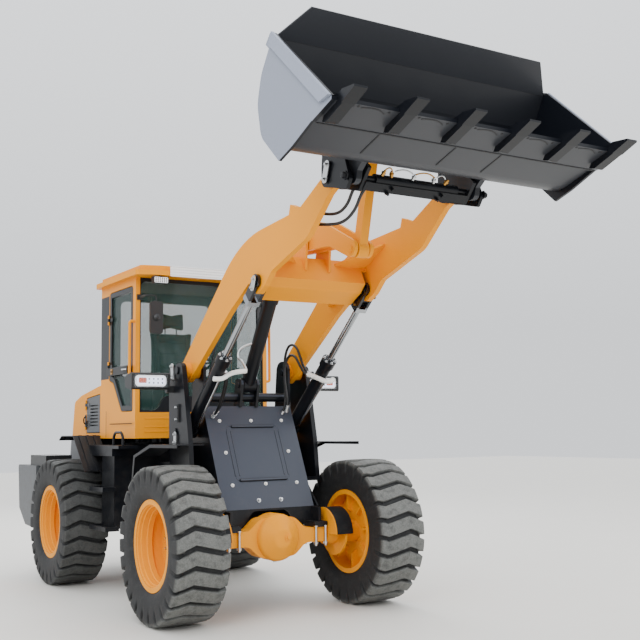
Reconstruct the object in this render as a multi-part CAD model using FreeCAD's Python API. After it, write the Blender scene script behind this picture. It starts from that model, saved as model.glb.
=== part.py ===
import FreeCAD, Part
import math
import os

# Compact articulated wheel loader with a single-bellcrank bucket linkage, a quick coupler and a toothed bucket.
# Sizes are millimetres. The front points along -Y, the machine's left side along +X, up along +Z, ground at z = 0.
# Every piece is drawn with the front axle at y = 0 and moved at the end, so that the origin is the middle of
# the machine's length and width on the ground. Points of a side view are (y, z) pairs.

V = FreeCAD.Vector
X_AXIS = V(1, 0, 0)
Y_AXIS = V(0, 1, 0)
Z_AXIS = V(0, 0, 1)
ORIGIN = V(0, 0, 0)

# Layout of the chassis
WHEEL_BASE = 2545.0
HALF_TRACK = 860.0
PIVOT_Y = 1270.0
REAR_END = 3850.0

# Tyres and rims
TYRE_RADIUS = 587.5
TYRE_HALF_WIDTH = 205.0
CARCASS_RADIUS = 552.0
LUG_COUNT = 26
LUG_WIDTH = 88.0
LUG_ROOT = 485.0
LUG_WAVE = 22.0
SIDEWALL_RADIUS = 440.0
BEAD_RADIUS = 322.0
BEAD_HALF_WIDTH = 160.0
RIM_FLANGE_RADIUS = 340.0
RIM_FLANGE = 16.0
RIM_WALL = 20.0
RIM_DISC_OFFSET = 95.0
RIM_DISC = 18.0
RIM_RIB = 14.0
RIM_RIB_COUNT = 8
RIM_RIB_DEPTH = 45.0
RIM_RIB_ROOT = 150.0
RIM_RIB_SKEW = 30.0
HUB_RADIUS = 130.0
HUB_DEPTH = 90.0

# Axles
AXLE_ARM_HALF_HEIGHT = 58.0
AXLE_ARM_HALF_DEPTH = 70.0
AXLE_ARM_END = 480.0
BANJO_RADIUS = 185.0
BANJO_DOME = 95.0
AXLE_TUBE_RADIUS = 88.0
BRAKE_DISC_RADIUS = 185.0
BRAKE_DISC = 22.0
BRAKE_DISC_X = 560.0
TRUNNION_RADIUS = 92.0
TRUNNION_REACH = 150.0
HANGER = 40.0
HANGER_Y = 172.0

# Pins, bores and running clearances
PIN_CLEARANCE = 0.08
SIDE_CLEARANCE = 6.0
SEAT_GAP = 0.3
MAIN_PIN = 32.0
SMALL_PIN = 24.0
TIP_PIN_RADIUS = 28.0
CRANK_PIN_RADIUS = 28.0

# Boom: places of its pins in the side view at the parked pose, and its outline in its own frame
BOOM_PIN = (520.0, 1925.0)
BOOM_LENGTH = 2526.0
BOOM_REST_DEG = 26.47
ARM_X = 477.0
ARM_THICK = 45.0
ARM_BOSS_RADIUS = 95.0
ARM_TIP_RADIUS = 76.0
BEAM_REAR = 1160.0
BEAM_FRONT = 1420.0
BEAM_LOW = -50.0
BEAM_HIGH = 200.0
BEAM_WALL = 20.0
BEAM_NOTCH = 98.0
GUSSET_ARM = 310.0
GUSSET_BEAM = 300.0
LIFT_EYE_UV = (1363.0, -29.0)
CRANK_PIN_UV = (1490.0, 320.0)
CRANK_NOSE_UV = (1973.0, -136.0)
CRANK_TAIL_UV = (1061.0, 495.0)
LINK_TOP_UV = (2456.0, 424.6)
BRACKET_X = 94.0
BRACKET_THICK = 18.0

# Cylinders
LIFT_BASE = (550.0, 1430.0)
LIFT_BARREL_RADIUS = 52.0
LIFT_BARREL_LENGTH = 875.0
LIFT_ROD_RADIUS = 27.0
LIFT_ROD_START = 710.0
FORK_CHEEK = 22.0
FORK_CAP = 10.0
FORK_HALF = ARM_THICK / 2 + SIDE_CLEARANCE + FORK_CHEEK
TILT_BASE = (435.0, 1805.0)
TILT_BARREL_RADIUS = 58.0
TILT_BARREL_LENGTH = 850.0
TILT_ROD_RADIUS = 32.0
TILT_ROD_START = 310.0
TILT_LUG = 22.0
STEER_X = 230.0
STEER_Z = 850.0
STEER_BASE_Y = 1560.0
STEER_EYE_Y = 860.0
STEER_BARREL_RADIUS = 38.0
STEER_BARREL_LENGTH = 400.0
STEER_ROD_RADIUS = 18.0
STEER_EYE_HALF = 41.0
STEER_EAR_HALF = 47.0

# Bellcrank and link
CRANK_PLATE = 28.0
CRANK_HALF_GAP = 52.0
LINK_HALF_WIDTH = 42.0
LINK_DEPTH = 78.0

# Bucket: side view measured from the boom's tip pin, forward and up
BUCKET_HALF_WIDTH = 1110.0
SIDE_PLATE = 20.0
HOOK_TUBE = (18.0, 420.0)
HOOK_TUBE_RADIUS = 38.0
HOOK_X = 455.0
LOCK_POINT = (225.0, -48.0)
LOCK_PIN = 22.0
LOCK_LUG = 40.0
LOCK_BARREL = 38.0
LOCK_BARREL_HALF = 330.0
COUPLER_PLATE = 25.0
CROSS_BAR = ((216.0, -124.0), (262.0, -81.0))
CROSS_BAR_PLATE = 16.0
TOOTH_REACH = 1135.0
TOOTH_RISE = 166.0
TOOTH_COUNT = 6
TOOTH_INSET = 80.0
TOOTH_SPACING = 2 * (BUCKET_HALF_WIDTH - TOOTH_INSET) / (TOOTH_COUNT - 1)

# Front frame and towers
FRAME_X = 385.0
FRAME_PLATE = 25.0
TOWER_X = 560.0
TOWER_PLATE = 40.0
SKIRT_X = 454.0
PANEL_LOW = (51.0, 800.0)
PANEL_HIGH = (432.0, 1630.0)
FIELD_SPAN = (0.27, 0.80)
FIELD_WIDTH = 490.0
FIELD_CORNER = 35.0
FIELD_DEPTH = 4.0
FRONT_REAR_WALL_Y = 760.0
TOWER_TOP_RADIUS = 95.0

# Articulation joint: heights of the two lugs of the front frame
LUG_PLATE = 50.0
UPPER_LUG_Z = 1060.0
LOWER_LUG_Z = 600.0
FORK_PLATE = 34.0
PIVOT_RADIUS = 35.0
PIVOT_LUG_RADIUS = 100.0

# Rear frame
REAR_WALL_Y = 1640.0
REAR_SIDE_X = 380.0
REAR_PLATE = 30.0
DECK_Z = 1385.0
DECK_PLATE = 25.0

# Tanks, steps and catwalk trays beside the rear frame
TANK_FRONT = 1550.0
TANK_REAR = 1870.0
TANK_X = 760.0
TREAD_X = 880.0
TRAY_LOW = 1215.0
TRAY_TOP = 1310.0
TRAY_X = 800.0
HOOP_TOP = 1425.0

# Cab
CAB_X = 660.0
CAB_FRONT = 1310.0
CAB_REAR = 2215.0
CAB_BOTTOM = 1370.0
CAB_FLOOR = 50.0
CAB_WALL = 40.0
SILL_Z = 1610.0
HEADER_Z = 2740.0
ROOF_Z = 2805.0
ROOF_RISE = 90.0
ROOF_FRONT = 1100.0
ROOF_X = 720.0
MIRROR_X = (470.0, 590.0)
MIRROR_Z = (2285.0, 2575.0)
MIRROR_Y = 1150.0
MIRROR_ARM_Z = 2625.0
GLASS = 6.0
SEAT_Z = 1790.0
CONSOLE_TOP = 1960.0
WHEEL_CENTRE = (1535.0, 2040.0)
WHEEL_RING = 172.0
WHEEL_GRIP = 14.0
DOOR_FRONT = CAB_FRONT + 65
DOOR_REAR = CAB_REAR - 230
DOOR_LENGTH = DOOR_REAR - DOOR_FRONT
DOOR_GAP = 8.0
DOOR_FRAME = 45.0
DOOR_HINGES = (2040.0, 2480.0)
HINGE_OFF = 10.0
HINGE_BACK = 3.0
HINGE_HEIGHT = 90.0
HINGE_KNUCKLE = 9.0
HINGE_PIN = 4.0

# Hood and rear
HOOD_X = 640.0
HOOD_FRONT = CAB_REAR + 5
HOOD_REAR = CAB_REAR + 865
HOOD_TOP_FRONT = 1880.0
HOOD_TOP_REAR = 1800.0
HOOD_WALL = 25.0
ENGINE_X = 230.0
ENGINE_LOW = 1000.0
ENGINE_TOP = DECK_Z + 330
ENGINE_FRONT = HOOD_FRONT + 110
ENGINE_LENGTH = 600.0
SIDE_DOOR_FRONT = HOOD_FRONT + 70
SIDE_DOOR_REAR = HOOD_FRONT + 470
SIDE_DOOR_LOW = 1420.0
SIDE_DOOR_HIGH = 1770.0
SIDE_HINGES = (1500.0, 1700.0)
LOUVRE = 14.0
LOUVRE_PITCH = 32.0
LOUVRE_COUNT = 7
COUNTERWEIGHT_X = 1000.0
COUNTERWEIGHT_DEPTH = REAR_END - HOOD_REAR
REAR_TOP = 1100.0
TOW_PIN_Y = REAR_END - 75
TOW_Z = 860.0
TOW_SLOT = 90.0
TOW_SLOT_X = 90.0
TOW_LENGTH = 200.0
TOW_BORE = 20.5
EXHAUST_X = 180.0
EXHAUST_Y = HOOD_FRONT + 260
EXHAUST_RADIUS = 38.0
EXHAUST_TOP = 2300.0


# Drawing helpers

def box(x0, x1, y0, y1, z0, z1):
    return Part.makeBox(x1 - x0, y1 - y0, z1 - z0, V(x0, y0, z0))


def rod(start, end, radius):
    return Part.makeCylinder(radius, (end - start).Length, start, end - start)


def pin_x(point, x0, x1, radius):
    return rod(V(x0, point[0], point[1]), V(x1, point[0], point[1]), radius)


def fuse(*shapes):
    return shapes[0].fuse(list(shapes[1:])).removeSplitter()


def cut(shape, *tools):
    return shape.cut(list(tools))


def mirrored(shape):
    return shape.mirror(ORIGIN, X_AXIS)


def pair(shape):
    return Part.makeCompound([shape, mirrored(shape)])


def turned(shape, degrees, centre, axis):
    copy = shape.copy()
    copy.rotate(centre, axis, degrees)
    return copy


def moved(shape, x, y, z):
    copy = shape.copy()
    copy.translate(V(x, y, z))
    return copy


def rounded_path(corners, closed):
    """Straight runs joined by tangent arcs, from (point, radius) rows."""
    count = len(corners)
    stations = []
    for index, (point, radius) in enumerate(corners):
        if radius == 0 or (not closed and index in (0, count - 1)):
            stations.append((point, None, point))
            continue
        before = (corners[index - 1][0] - point).normalize()
        after = (corners[(index + 1) % count][0] - point).normalize()
        half = before.getAngle(after) / 2
        reach = radius / math.tan(half)
        crown = (before + after).normalize() * (radius / math.sin(half) - radius)
        stations.append((point + before * reach, point + crown, point + after * reach))
    edges = []
    for index in range(count):
        start, crown, end = stations[index]
        if crown is not None:
            edges.append(Part.Arc(start, crown, end).toShape())
        if closed or index < count - 1:
            following = stations[(index + 1) % count][0]
            if (following - end).Length > 1e-6:
                edges.append(Part.LineSegment(end, following).toShape())
    return Part.Wire(edges)


def prism(corners, plane, low, high, inset=0):
    """Extrude an outline of (p, q) or (p, q, radius) rows between two planes of the named axis, drawn in by inset."""
    place = {"x": lambda p, q: V(low, p, q), "y": lambda p, q: V(p, low, q), "z": lambda p, q: V(p, q, low)}[plane]
    direction = {"x": X_AXIS, "y": Y_AXIS, "z": Z_AXIS}[plane]
    rows = [(place(row[0], row[1]), row[2] if len(row) > 2 else 0) for row in corners]
    face = Part.Face(rounded_path(rows, True))
    if inset:
        face = face.makeOffset2D(-inset)
    return face.extrude(direction * (high - low))


def revolved(corners, axis):
    """Turn an outline of (along, radius) rows about the X or Y axis through the origin."""
    rows = [(V(row[0], 0, row[1]) if axis is X_AXIS else V(0, row[0], row[1]), row[2] if len(row) > 2 else 0)
            for row in corners]
    return Part.Face(rounded_path(rows, True)).revolve(ORIGIN, axis, 360)


def tube(points, radius, bend):
    """A round bar along straight runs with bends of one radius."""
    rows = [(point, bend) for point in points]
    path = rounded_path(rows, False)
    start = points[0]
    profile = Part.Wire(Part.Circle(start, points[1] - start, radius).toShape())
    return path.makePipeShell([profile], True, True)


def on_boom(u, v):
    """A point of the boom's own frame, along its pin line and above it, in the side view."""
    angle = math.radians(BOOM_REST_DEG)
    forward = u * math.cos(angle) - v * math.sin(angle)
    rise = u * math.sin(angle) + v * math.cos(angle)
    return (BOOM_PIN[0] - forward, BOOM_PIN[1] + rise)


def boom_plate(rows, x0, x1):
    corners = []
    for row in rows:
        y, z = on_boom(row[0], row[1])
        corners.append((y, z, row[2] if len(row) > 2 else 0))
    return prism(corners, "x", x0, x1)


TIP_PIN = on_boom(BOOM_LENGTH, 0.0)
LIFT_EYE = on_boom(*LIFT_EYE_UV)
CRANK_PIN = on_boom(*CRANK_PIN_UV)
CRANK_NOSE = on_boom(*CRANK_NOSE_UV)
CRANK_TAIL = on_boom(*CRANK_TAIL_UV)
LINK_TOP = on_boom(*LINK_TOP_UV)


def from_tip(forward, rise):
    """A point of the bucket and coupler, measured from the boom's tip pin."""
    return (TIP_PIN[0] - forward, TIP_PIN[1] + rise)


def tip_plate(rows, x0, x1):
    corners = []
    for row in rows:
        y, z = from_tip(row[0], row[1])
        corners.append((y, z, row[2] if len(row) > 2 else 0))
    return prism(corners, "x", x0, x1)


FRONT_END = from_tip(TOOTH_REACH, TOOTH_RISE)[0]
SHIFT_Y = -(FRONT_END + REAR_END) / 2


# Wheels

def faceted_ring(profile, count):
    """Flat-sided ring about the X axis from an outline of (x, radius) rows; one flat points straight down."""
    half = math.pi / count
    faces = []
    for index in range(count):
        low = 2 * math.pi * index / count - half
        high = low + 2 * half
        for row, (x0, r0) in enumerate(profile):
            x1, r1 = profile[(row + 1) % len(profile)]
            corners = [V(x, r / math.cos(half) * math.sin(angle), r / math.cos(half) * math.cos(angle))
                       for x, r, angle in ((x0, r0, low), (x0, r0, high), (x1, r1, high), (x1, r1, low))]
            faces.append(Part.Face(Part.makePolygon(corners + corners[:1])))
    shell = Part.makeShell(faces)
    shell.sewShape()
    return Part.makeSolid(shell)


def tyre():
    """Lugged tyre about the X axis: a flat-sided carcass with wavy cross lugs that run down its shoulders."""
    half = TYRE_HALF_WIDTH
    side = [(BEAD_HALF_WIDTH - 10, BEAD_RADIUS), (half - 8, SIDEWALL_RADIUS), (half - 42, CARCASS_RADIUS)]
    carcass = faceted_ring(side + [(-x, radius) for x, radius in reversed(side)], LUG_COUNT)
    crest = [(half - 24, LUG_ROOT), (half, TYRE_RADIUS)]
    crown = faceted_ring(crest + [(-x, radius) for x, radius in reversed(crest)], LUG_COUNT)
    # lug centre line: place across the tread, offset along it
    wave = [(-half - 5, -LUG_WAVE), (half / 3, LUG_WAVE), (half + 5, -LUG_WAVE * 0.4)]
    outline = [(x, t - LUG_WIDTH / 2) for x, t in wave] + [(x, t + LUG_WIDTH / 2) for x, t in reversed(wave)]
    block = prism(outline, "z", LUG_ROOT, TYRE_RADIUS + 20).common(crown)
    lugs = [turned(block, 360.0 * index / LUG_COUNT, ORIGIN, X_AXIS) for index in range(LUG_COUNT)]
    return carcass.fuse(lugs)


def rim():
    """Dished rim about the X axis, outer side towards +X, with its hub in the dish."""
    inner = BEAD_RADIUS - SEAT_GAP - RIM_WALL
    wide = BEAD_HALF_WIDTH + RIM_FLANGE
    barrel = revolved([
        (-wide, inner), (wide, inner), (wide, RIM_FLANGE_RADIUS), (wide - RIM_FLANGE + 1, RIM_FLANGE_RADIUS),
        (BEAD_HALF_WIDTH + 1, BEAD_RADIUS - SEAT_GAP), (-BEAD_HALF_WIDTH - 1, BEAD_RADIUS - SEAT_GAP),
        (1 - wide + RIM_FLANGE - 2, RIM_FLANGE_RADIUS), (-wide, RIM_FLANGE_RADIUS)], X_AXIS)
    back = -RIM_DISC_OFFSET
    disc = revolved([
        (back, 0), (back, 215), (back + 38, inner + 2), (back + 38 + RIM_DISC, inner + 2),
        (back + RIM_DISC, 225), (back + RIM_DISC, HUB_RADIUS),
        (back + RIM_DISC + HUB_DEPTH - 20, HUB_RADIUS - 8), (back + RIM_DISC + HUB_DEPTH, HUB_RADIUS - 40),
        (back + RIM_DISC + HUB_DEPTH, 0)], X_AXIS)
    rib = prism([(back - RIM_RIB_DEPTH, RIM_RIB_ROOT + 25, 15), (back + 1, RIM_RIB_ROOT), (back + 9, 215), (back + 40, inner + 1),
                 (back - RIM_RIB_DEPTH, inner + 1)], "y", -RIM_RIB / 2, RIM_RIB / 2)
    rib = moved(rib, 0, RIM_RIB_SKEW, 0)
    ribs = [turned(rib, 360.0 * index / RIM_RIB_COUNT, ORIGIN, X_AXIS) for index in range(RIM_RIB_COUNT)]
    return fuse(barrel, disc, *ribs)


# Axles

def brake_shield():
    """Half-round dust guard above the left brake disc."""
    outer = BRAKE_DISC_RADIUS + 22
    x0 = AXLE_ARM_END - 20
    x1 = BRAKE_DISC_X + BRAKE_DISC + 40
    hoop = rod(V(x0, 0, TYRE_RADIUS), V(x1, 0, TYRE_RADIUS), outer)
    hoop = cut(hoop, rod(V(x0 + 10, 0, TYRE_RADIUS), V(x1 + 1, 0, TYRE_RADIUS), outer - 10))
    half = box(x0 - 1, x1 + 1, -outer - 1, outer + 1, TYRE_RADIUS, TYRE_RADIUS + outer + 1)
    return hoop.common(half)


def axle():
    """Rigid drive axle along X with a round centre case, square arms, tubes, brake discs and dust shields."""
    arm = AXLE_ARM_HALF_HEIGHT
    half = [(0, -BANJO_RADIUS + 10, 200), (150, -BANJO_RADIUS + 30, 120), (255, -arm, 90), (AXLE_ARM_END, -arm)]
    lower = [(x, z + TYRE_RADIUS, *rest) for x, z, *rest in half[1:]]
    upper = [(x, TYRE_RADIUS - (z - TYRE_RADIUS), *rest) for x, z, *rest in reversed(lower)]
    right = lower + upper
    outline = right + [(-x, z, *rest) for x, z, *rest in reversed(right)]
    beam = prism(outline, "y", -AXLE_ARM_HALF_DEPTH, AXLE_ARM_HALF_DEPTH)
    case = revolved([
        (-AXLE_ARM_HALF_DEPTH - BANJO_DOME, 0), (-AXLE_ARM_HALF_DEPTH - BANJO_DOME, 70, 60),
        (-AXLE_ARM_HALF_DEPTH - 30, BANJO_RADIUS - 8, 40), (-AXLE_ARM_HALF_DEPTH, BANJO_RADIUS),
        (AXLE_ARM_HALF_DEPTH, BANJO_RADIUS), (AXLE_ARM_HALF_DEPTH + 85, TRUNNION_RADIUS),
        (AXLE_ARM_HALF_DEPTH + TRUNNION_REACH, TRUNNION_RADIUS), (AXLE_ARM_HALF_DEPTH + TRUNNION_REACH, 0)], Y_AXIS)
    case = moved(case, 0, 0, TYRE_RADIUS)
    solids = [beam, case]
    end = HALF_TRACK - RIM_DISC_OFFSET - SEAT_GAP
    for side in (-1, 1):
        inner = V(side * (AXLE_ARM_END - 20), 0, TYRE_RADIUS)
        solids.append(rod(inner, V(side * end, 0, TYRE_RADIUS), AXLE_TUBE_RADIUS))
        disc = V(side * BRAKE_DISC_X, 0, TYRE_RADIUS)
        solids.append(rod(disc, V(side * (BRAKE_DISC_X + BRAKE_DISC), 0, TYRE_RADIUS), BRAKE_DISC_RADIUS))
    shield = brake_shield()
    return fuse(*solids, shield, mirrored(shield))


# Front frame

AXLE_SEAT_Z = TYRE_RADIUS + AXLE_ARM_HALF_HEIGHT


def tower_outline(front_low, rear_low, low):
    top = BOOM_PIN[1] + 68
    front = BOOM_PIN[0] - 85
    rear = BOOM_PIN[0] + 175
    return [(front, top, 60), (front_low, 1360), (front_low - 40, low), (rear_low, low), (rear_low + 30, 1360),
            (rear, top - 40, 50)]


def pivot_lug(z0, z1, root_y, root_half_width):
    """Tapered plate that ends in a round eye about the articulation axis."""
    half = PIVOT_LUG_RADIUS
    direction = 1 if root_y > PIVOT_Y else -1
    outline = [(-root_half_width, root_y), (root_half_width, root_y),
               (half, PIVOT_Y + direction * 60), (half, PIVOT_Y - direction * half, half * 0.95),
               (-half, PIVOT_Y - direction * half, half * 0.95), (-half, PIVOT_Y + direction * 60)]
    return prism(outline, "z", z0, z1)


def pressed_field():
    """Rounded rectangle pressed into the sloped cover, as a shallow solid to cut away."""
    rise = PANEL_HIGH[1] - PANEL_LOW[1]
    run = PANEL_HIGH[0] - PANEL_LOW[0]
    length = math.hypot(rise, run)
    low, high = (share * length for share in FIELD_SPAN)
    half = FIELD_WIDTH / 2
    field = prism([(-half, low, FIELD_CORNER), (half, low, FIELD_CORNER), (half, high, FIELD_CORNER),
                   (-half, high, FIELD_CORNER)], "y", -1, FIELD_DEPTH)
    field = turned(field, -math.degrees(math.atan2(run, rise)), ORIGIN, X_AXIS)
    return moved(field, 0, PANEL_LOW[0], PANEL_LOW[1])


def front_frame():
    """Welded front frame: side plates, sloped cover, towers, cylinder lugs and articulation lugs."""
    outer = FRAME_X + FRAME_PLATE
    side = [
        (PANEL_LOW[0], 690), PANEL_LOW, PANEL_HIGH, (BOOM_PIN[0] - TOWER_TOP_RADIUS, 1800),
        (BOOM_PIN[0] - TOWER_TOP_RADIUS, BOOM_PIN[1] + TOWER_TOP_RADIUS, 85),
        (BOOM_PIN[0] + TOWER_TOP_RADIUS, BOOM_PIN[1] + TOWER_TOP_RADIUS, 85),
        (690, 1360), (FRONT_REAR_WALL_Y, 1150), (FRONT_REAR_WALL_Y, 560, 60), (230, 560, 60), (160, 690)]
    plate = prism(side, "x", FRAME_X, outer)
    plate = cut(plate, pin_x(BOOM_PIN, FRAME_X - 1, outer + 1, MAIN_PIN + PIN_CLEARANCE))
    tower = prism(tower_outline(300, 660, 1000), "x", TOWER_X, TOWER_X + TOWER_PLATE)
    shelf = box(outer, TOWER_X, 262, 660, 1000, 1030)
    back = box(outer, TOWER_X, 640, 660, 1030, 1330)
    pin = pin_x(BOOM_PIN, FRAME_X - 20, TOWER_X + TOWER_PLATE + 12, MAIN_PIN)
    low_pin = pin_x(LIFT_BASE, FRAME_X + FRAME_PLATE - 5, TOWER_X + TOWER_PLATE + 12, SMALL_PIN)
    half = [plate, tower, shelf, back, pin, low_pin]
    solids = half + [mirrored(shape) for shape in half]
    inner = FRAME_X
    slope = [PANEL_LOW, PANEL_HIGH, (PANEL_HIGH[0] + 14, PANEL_HIGH[1] - 4), (PANEL_LOW[0] + 14, PANEL_LOW[1] - 6)]
    solids.append(cut(prism(slope, "x", -inner, inner), pressed_field()))
    wide = SKIRT_X
    skirt = [(-wide, 668), (-wide, 806), (wide, 806), (wide, 668), (250, 668), (150, 790, 60), (-150, 790, 60),
             (-250, 668)]
    solids.append(prism(skirt, "y", PANEL_LOW[0], PANEL_LOW[0] + 14))
    cheek = prism([(PANEL_LOW[0], 668), (PANEL_LOW[0], 806), (262, 1030), (262, 668)], "x", wide - 14, wide)
    solids += [cheek, mirrored(cheek), box(outer - 1, wide - 13, 230, 262, 668, 1030),
               box(-wide + 13, 1 - outer, 230, 262, 668, 1030)]
    solids.append(box(-inner, inner, PANEL_HIGH[0], 640, PANEL_HIGH[1] - 14, PANEL_HIGH[1]))
    solids.append(box(-inner, inner, FRONT_REAR_WALL_Y - 20, FRONT_REAR_WALL_Y, 560, 1150))
    tube_point = (PANEL_HIGH[0] + 40, PANEL_HIGH[1] + 75)
    solids.append(pin_x(tube_point, -inner, inner, 38))
    lug = [(tube_point[0] - 60, PANEL_HIGH[1] - 10), (tube_point[0] + 60, PANEL_HIGH[1] - 10),
           (TILT_BASE[0] + 62, TILT_BASE[1], 40), (TILT_BASE[0] + 45, TILT_BASE[1] + 55, 40),
           (TILT_BASE[0] - 50, TILT_BASE[1] + 55, 40), (TILT_BASE[0] - 62, TILT_BASE[1], 20)]
    eye_half = TILT_BARREL_RADIUS + SIDE_CLEARANCE
    for side_sign in (-1, 1):
        low = eye_half if side_sign > 0 else -eye_half - TILT_LUG
        solids.append(prism(lug, "x", low, low + TILT_LUG))
    solids.append(pin_x(TILT_BASE, -eye_half - 30, eye_half + 30, SMALL_PIN))
    pads = box(330, 450, -90, 170, AXLE_SEAT_Z + SEAT_GAP, AXLE_SEAT_Z + 44)
    web = box(FRAME_X, outer, -60, 170, AXLE_SEAT_Z + 40, 800)
    solids += [pads, mirrored(pads), web, mirrored(web)]
    for low in (UPPER_LUG_Z, LOWER_LUG_Z):
        lug_plate = pivot_lug(low, low + LUG_PLATE, FRONT_REAR_WALL_Y - 1, 250)
        bore = rod(V(0, PIVOT_Y, low - 1), V(0, PIVOT_Y, low + LUG_PLATE + 1), PIVOT_RADIUS + PIN_CLEARANCE)
        solids.append(cut(lug_plate, bore))
    for sign in (-1, 1):
        for low in (STEER_Z - STEER_EAR_HALF - 16, STEER_Z + STEER_EAR_HALF):
            solids.append(box(sign * STEER_X - 50, sign * STEER_X + 50, FRONT_REAR_WALL_Y - 1, STEER_EYE_Y + 60,
                              low, low + 16))
    return fuse(*solids)


def front_fenders():
    top = [(0, 1325), (545, 1325), (900, 1232), (960, 930), (954, 928), (893, 1226), (543, 1318), (0, 1318)]
    plate = prism(top, "x", TOWER_X + TOWER_PLATE, 830)
    lip = prism([(0, 1325), (545, 1325), (900, 1232), (960, 930), (935, 926), (870, 1215), (540, 1300), (0, 1300)],
                "x", 824, 830)
    return pair(fuse(plate, lip))


def headlights():
    housing = prism([(545, 1765, 20), (545, 1910, 20), (700, 1880, 30), (700, 1790, 30)], "x", 655, 985)
    face = prism([(672, 1782, 12), (672, 1895, 12), (968, 1895, 12), (968, 1782, 12)], "y", 544, 550)
    arm = box(TOWER_X + TOWER_PLATE, 660, 590, 640, 1745, 1800)
    return pair(fuse(cut(housing, face), arm))


# Boom

def boom_solid(shape):
    """Lay a shape drawn in the boom's frame, with its pin at the origin and the arm along -Y, in its place."""
    return moved(turned(shape, -BOOM_REST_DEG, ORIGIN, X_AXIS), 0, BOOM_PIN[0], BOOM_PIN[1])


def boom_arms():
    outline = [
        (-110, 108, 70), (1260, 412, 1100), (1951, 129), (2002, 181), (2096, 79, 15),
        (BOOM_LENGTH + ARM_TIP_RADIUS, ARM_TIP_RADIUS, 74), (BOOM_LENGTH + ARM_TIP_RADIUS, -ARM_TIP_RADIUS, 74),
        (2440, -70, 60), (2080, -158, 200), (1560, -76, 60), (1430, -112, 50), (1300, -112, 60),
        (1235, 40, 25), (870, 26, 400), (60, -75, 60), (-110, -80, 70)]
    x0 = ARM_X - ARM_THICK / 2
    plate = boom_plate(outline, x0, x0 + ARM_THICK)
    boss = pin_x(BOOM_PIN, FRAME_X + FRAME_PLATE + SIDE_CLEARANCE, TOWER_X - SIDE_CLEARANCE, ARM_BOSS_RADIUS - 30)
    tip_boss = pin_x(TIP_PIN, x0 - 12, x0 + ARM_THICK + 12, ARM_TIP_RADIUS - 14)
    arm = fuse(plate, boss, tip_boss)
    arm = cut(arm, pin_x(BOOM_PIN, 300, 700, MAIN_PIN + PIN_CLEARANCE),
              pin_x(TIP_PIN, 300, 700, TIP_PIN_RADIUS + PIN_CLEARANCE))
    return [arm, mirrored(arm)]


def boom_beam():
    """Cross box between the arms with the two bracket plates that carry the bellcrank."""
    inner = ARM_X - ARM_THICK / 2
    body = boom_plate([(BEAM_REAR, BEAM_LOW), (BEAM_REAR, BEAM_HIGH - 40), (BEAM_REAR + 60, BEAM_HIGH),
                       (BEAM_FRONT, BEAM_HIGH - 20), (BEAM_FRONT, BEAM_LOW + 30), (BEAM_FRONT - 90, BEAM_LOW)],
                      -inner, inner)
    hollow = boom_plate([(BEAM_REAR + BEAM_WALL, BEAM_LOW + BEAM_WALL), (BEAM_REAR + BEAM_WALL, BEAM_HIGH - 60),
                         (BEAM_FRONT - BEAM_WALL, BEAM_HIGH - 60), (BEAM_FRONT - BEAM_WALL, BEAM_LOW + 50)],
                        -inner - 1, inner + 1)
    bracket = boom_plate([(BEAM_FRONT - 180, BEAM_HIGH - 30), (CRANK_PIN_UV[0] - 70, CRANK_PIN_UV[1] + 60, 55),
                          (CRANK_PIN_UV[0] + 65, CRANK_PIN_UV[1] + 60, 55), (CRANK_PIN_UV[0] + 60, 260, 30),
                          (BEAM_FRONT + 10, 60), (BEAM_FRONT - 30, 60)], BRACKET_X, BRACKET_X + BRACKET_THICK)
    pin = pin_x(CRANK_PIN, -BRACKET_X - BRACKET_THICK - 10, BRACKET_X + BRACKET_THICK + 10, CRANK_PIN_RADIUS)
    notch = boom_plate([(BEAM_REAR - 1, BEAM_LOW - 1), (BEAM_REAR - 1, BEAM_NOTCH), (BEAM_FRONT + 1, BEAM_NOTCH),
                        (BEAM_FRONT + 1, BEAM_LOW - 1)], ARM_X - FORK_HALF - FORK_CAP - SIDE_CLEARANCE, inner + 1)
    beam = cut(body, hollow, notch, mirrored(notch))
    gusset_top = BEAM_NOTCH + 45
    front = prism([(inner, -BEAM_FRONT + 20), (inner, -BEAM_FRONT - GUSSET_ARM), (inner - 20, -BEAM_FRONT - GUSSET_ARM),
                   (inner - GUSSET_BEAM, -BEAM_FRONT + 20)], "z", gusset_top - 16, gusset_top)
    rear = prism([(inner, -BEAM_REAR - 20), (inner, -BEAM_REAR + 300), (inner - 30, -BEAM_REAR + 300),
                  (inner - 160, -BEAM_REAR - 20)], "z", gusset_top - 16, gusset_top)
    gussets = [boom_solid(front), boom_solid(rear)]
    return [beam, bracket, mirrored(bracket), pin] + gussets + [mirrored(shape) for shape in gussets]


def boom():
    return fuse(*boom_arms(), *boom_beam())


# Bucket linkage

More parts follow.
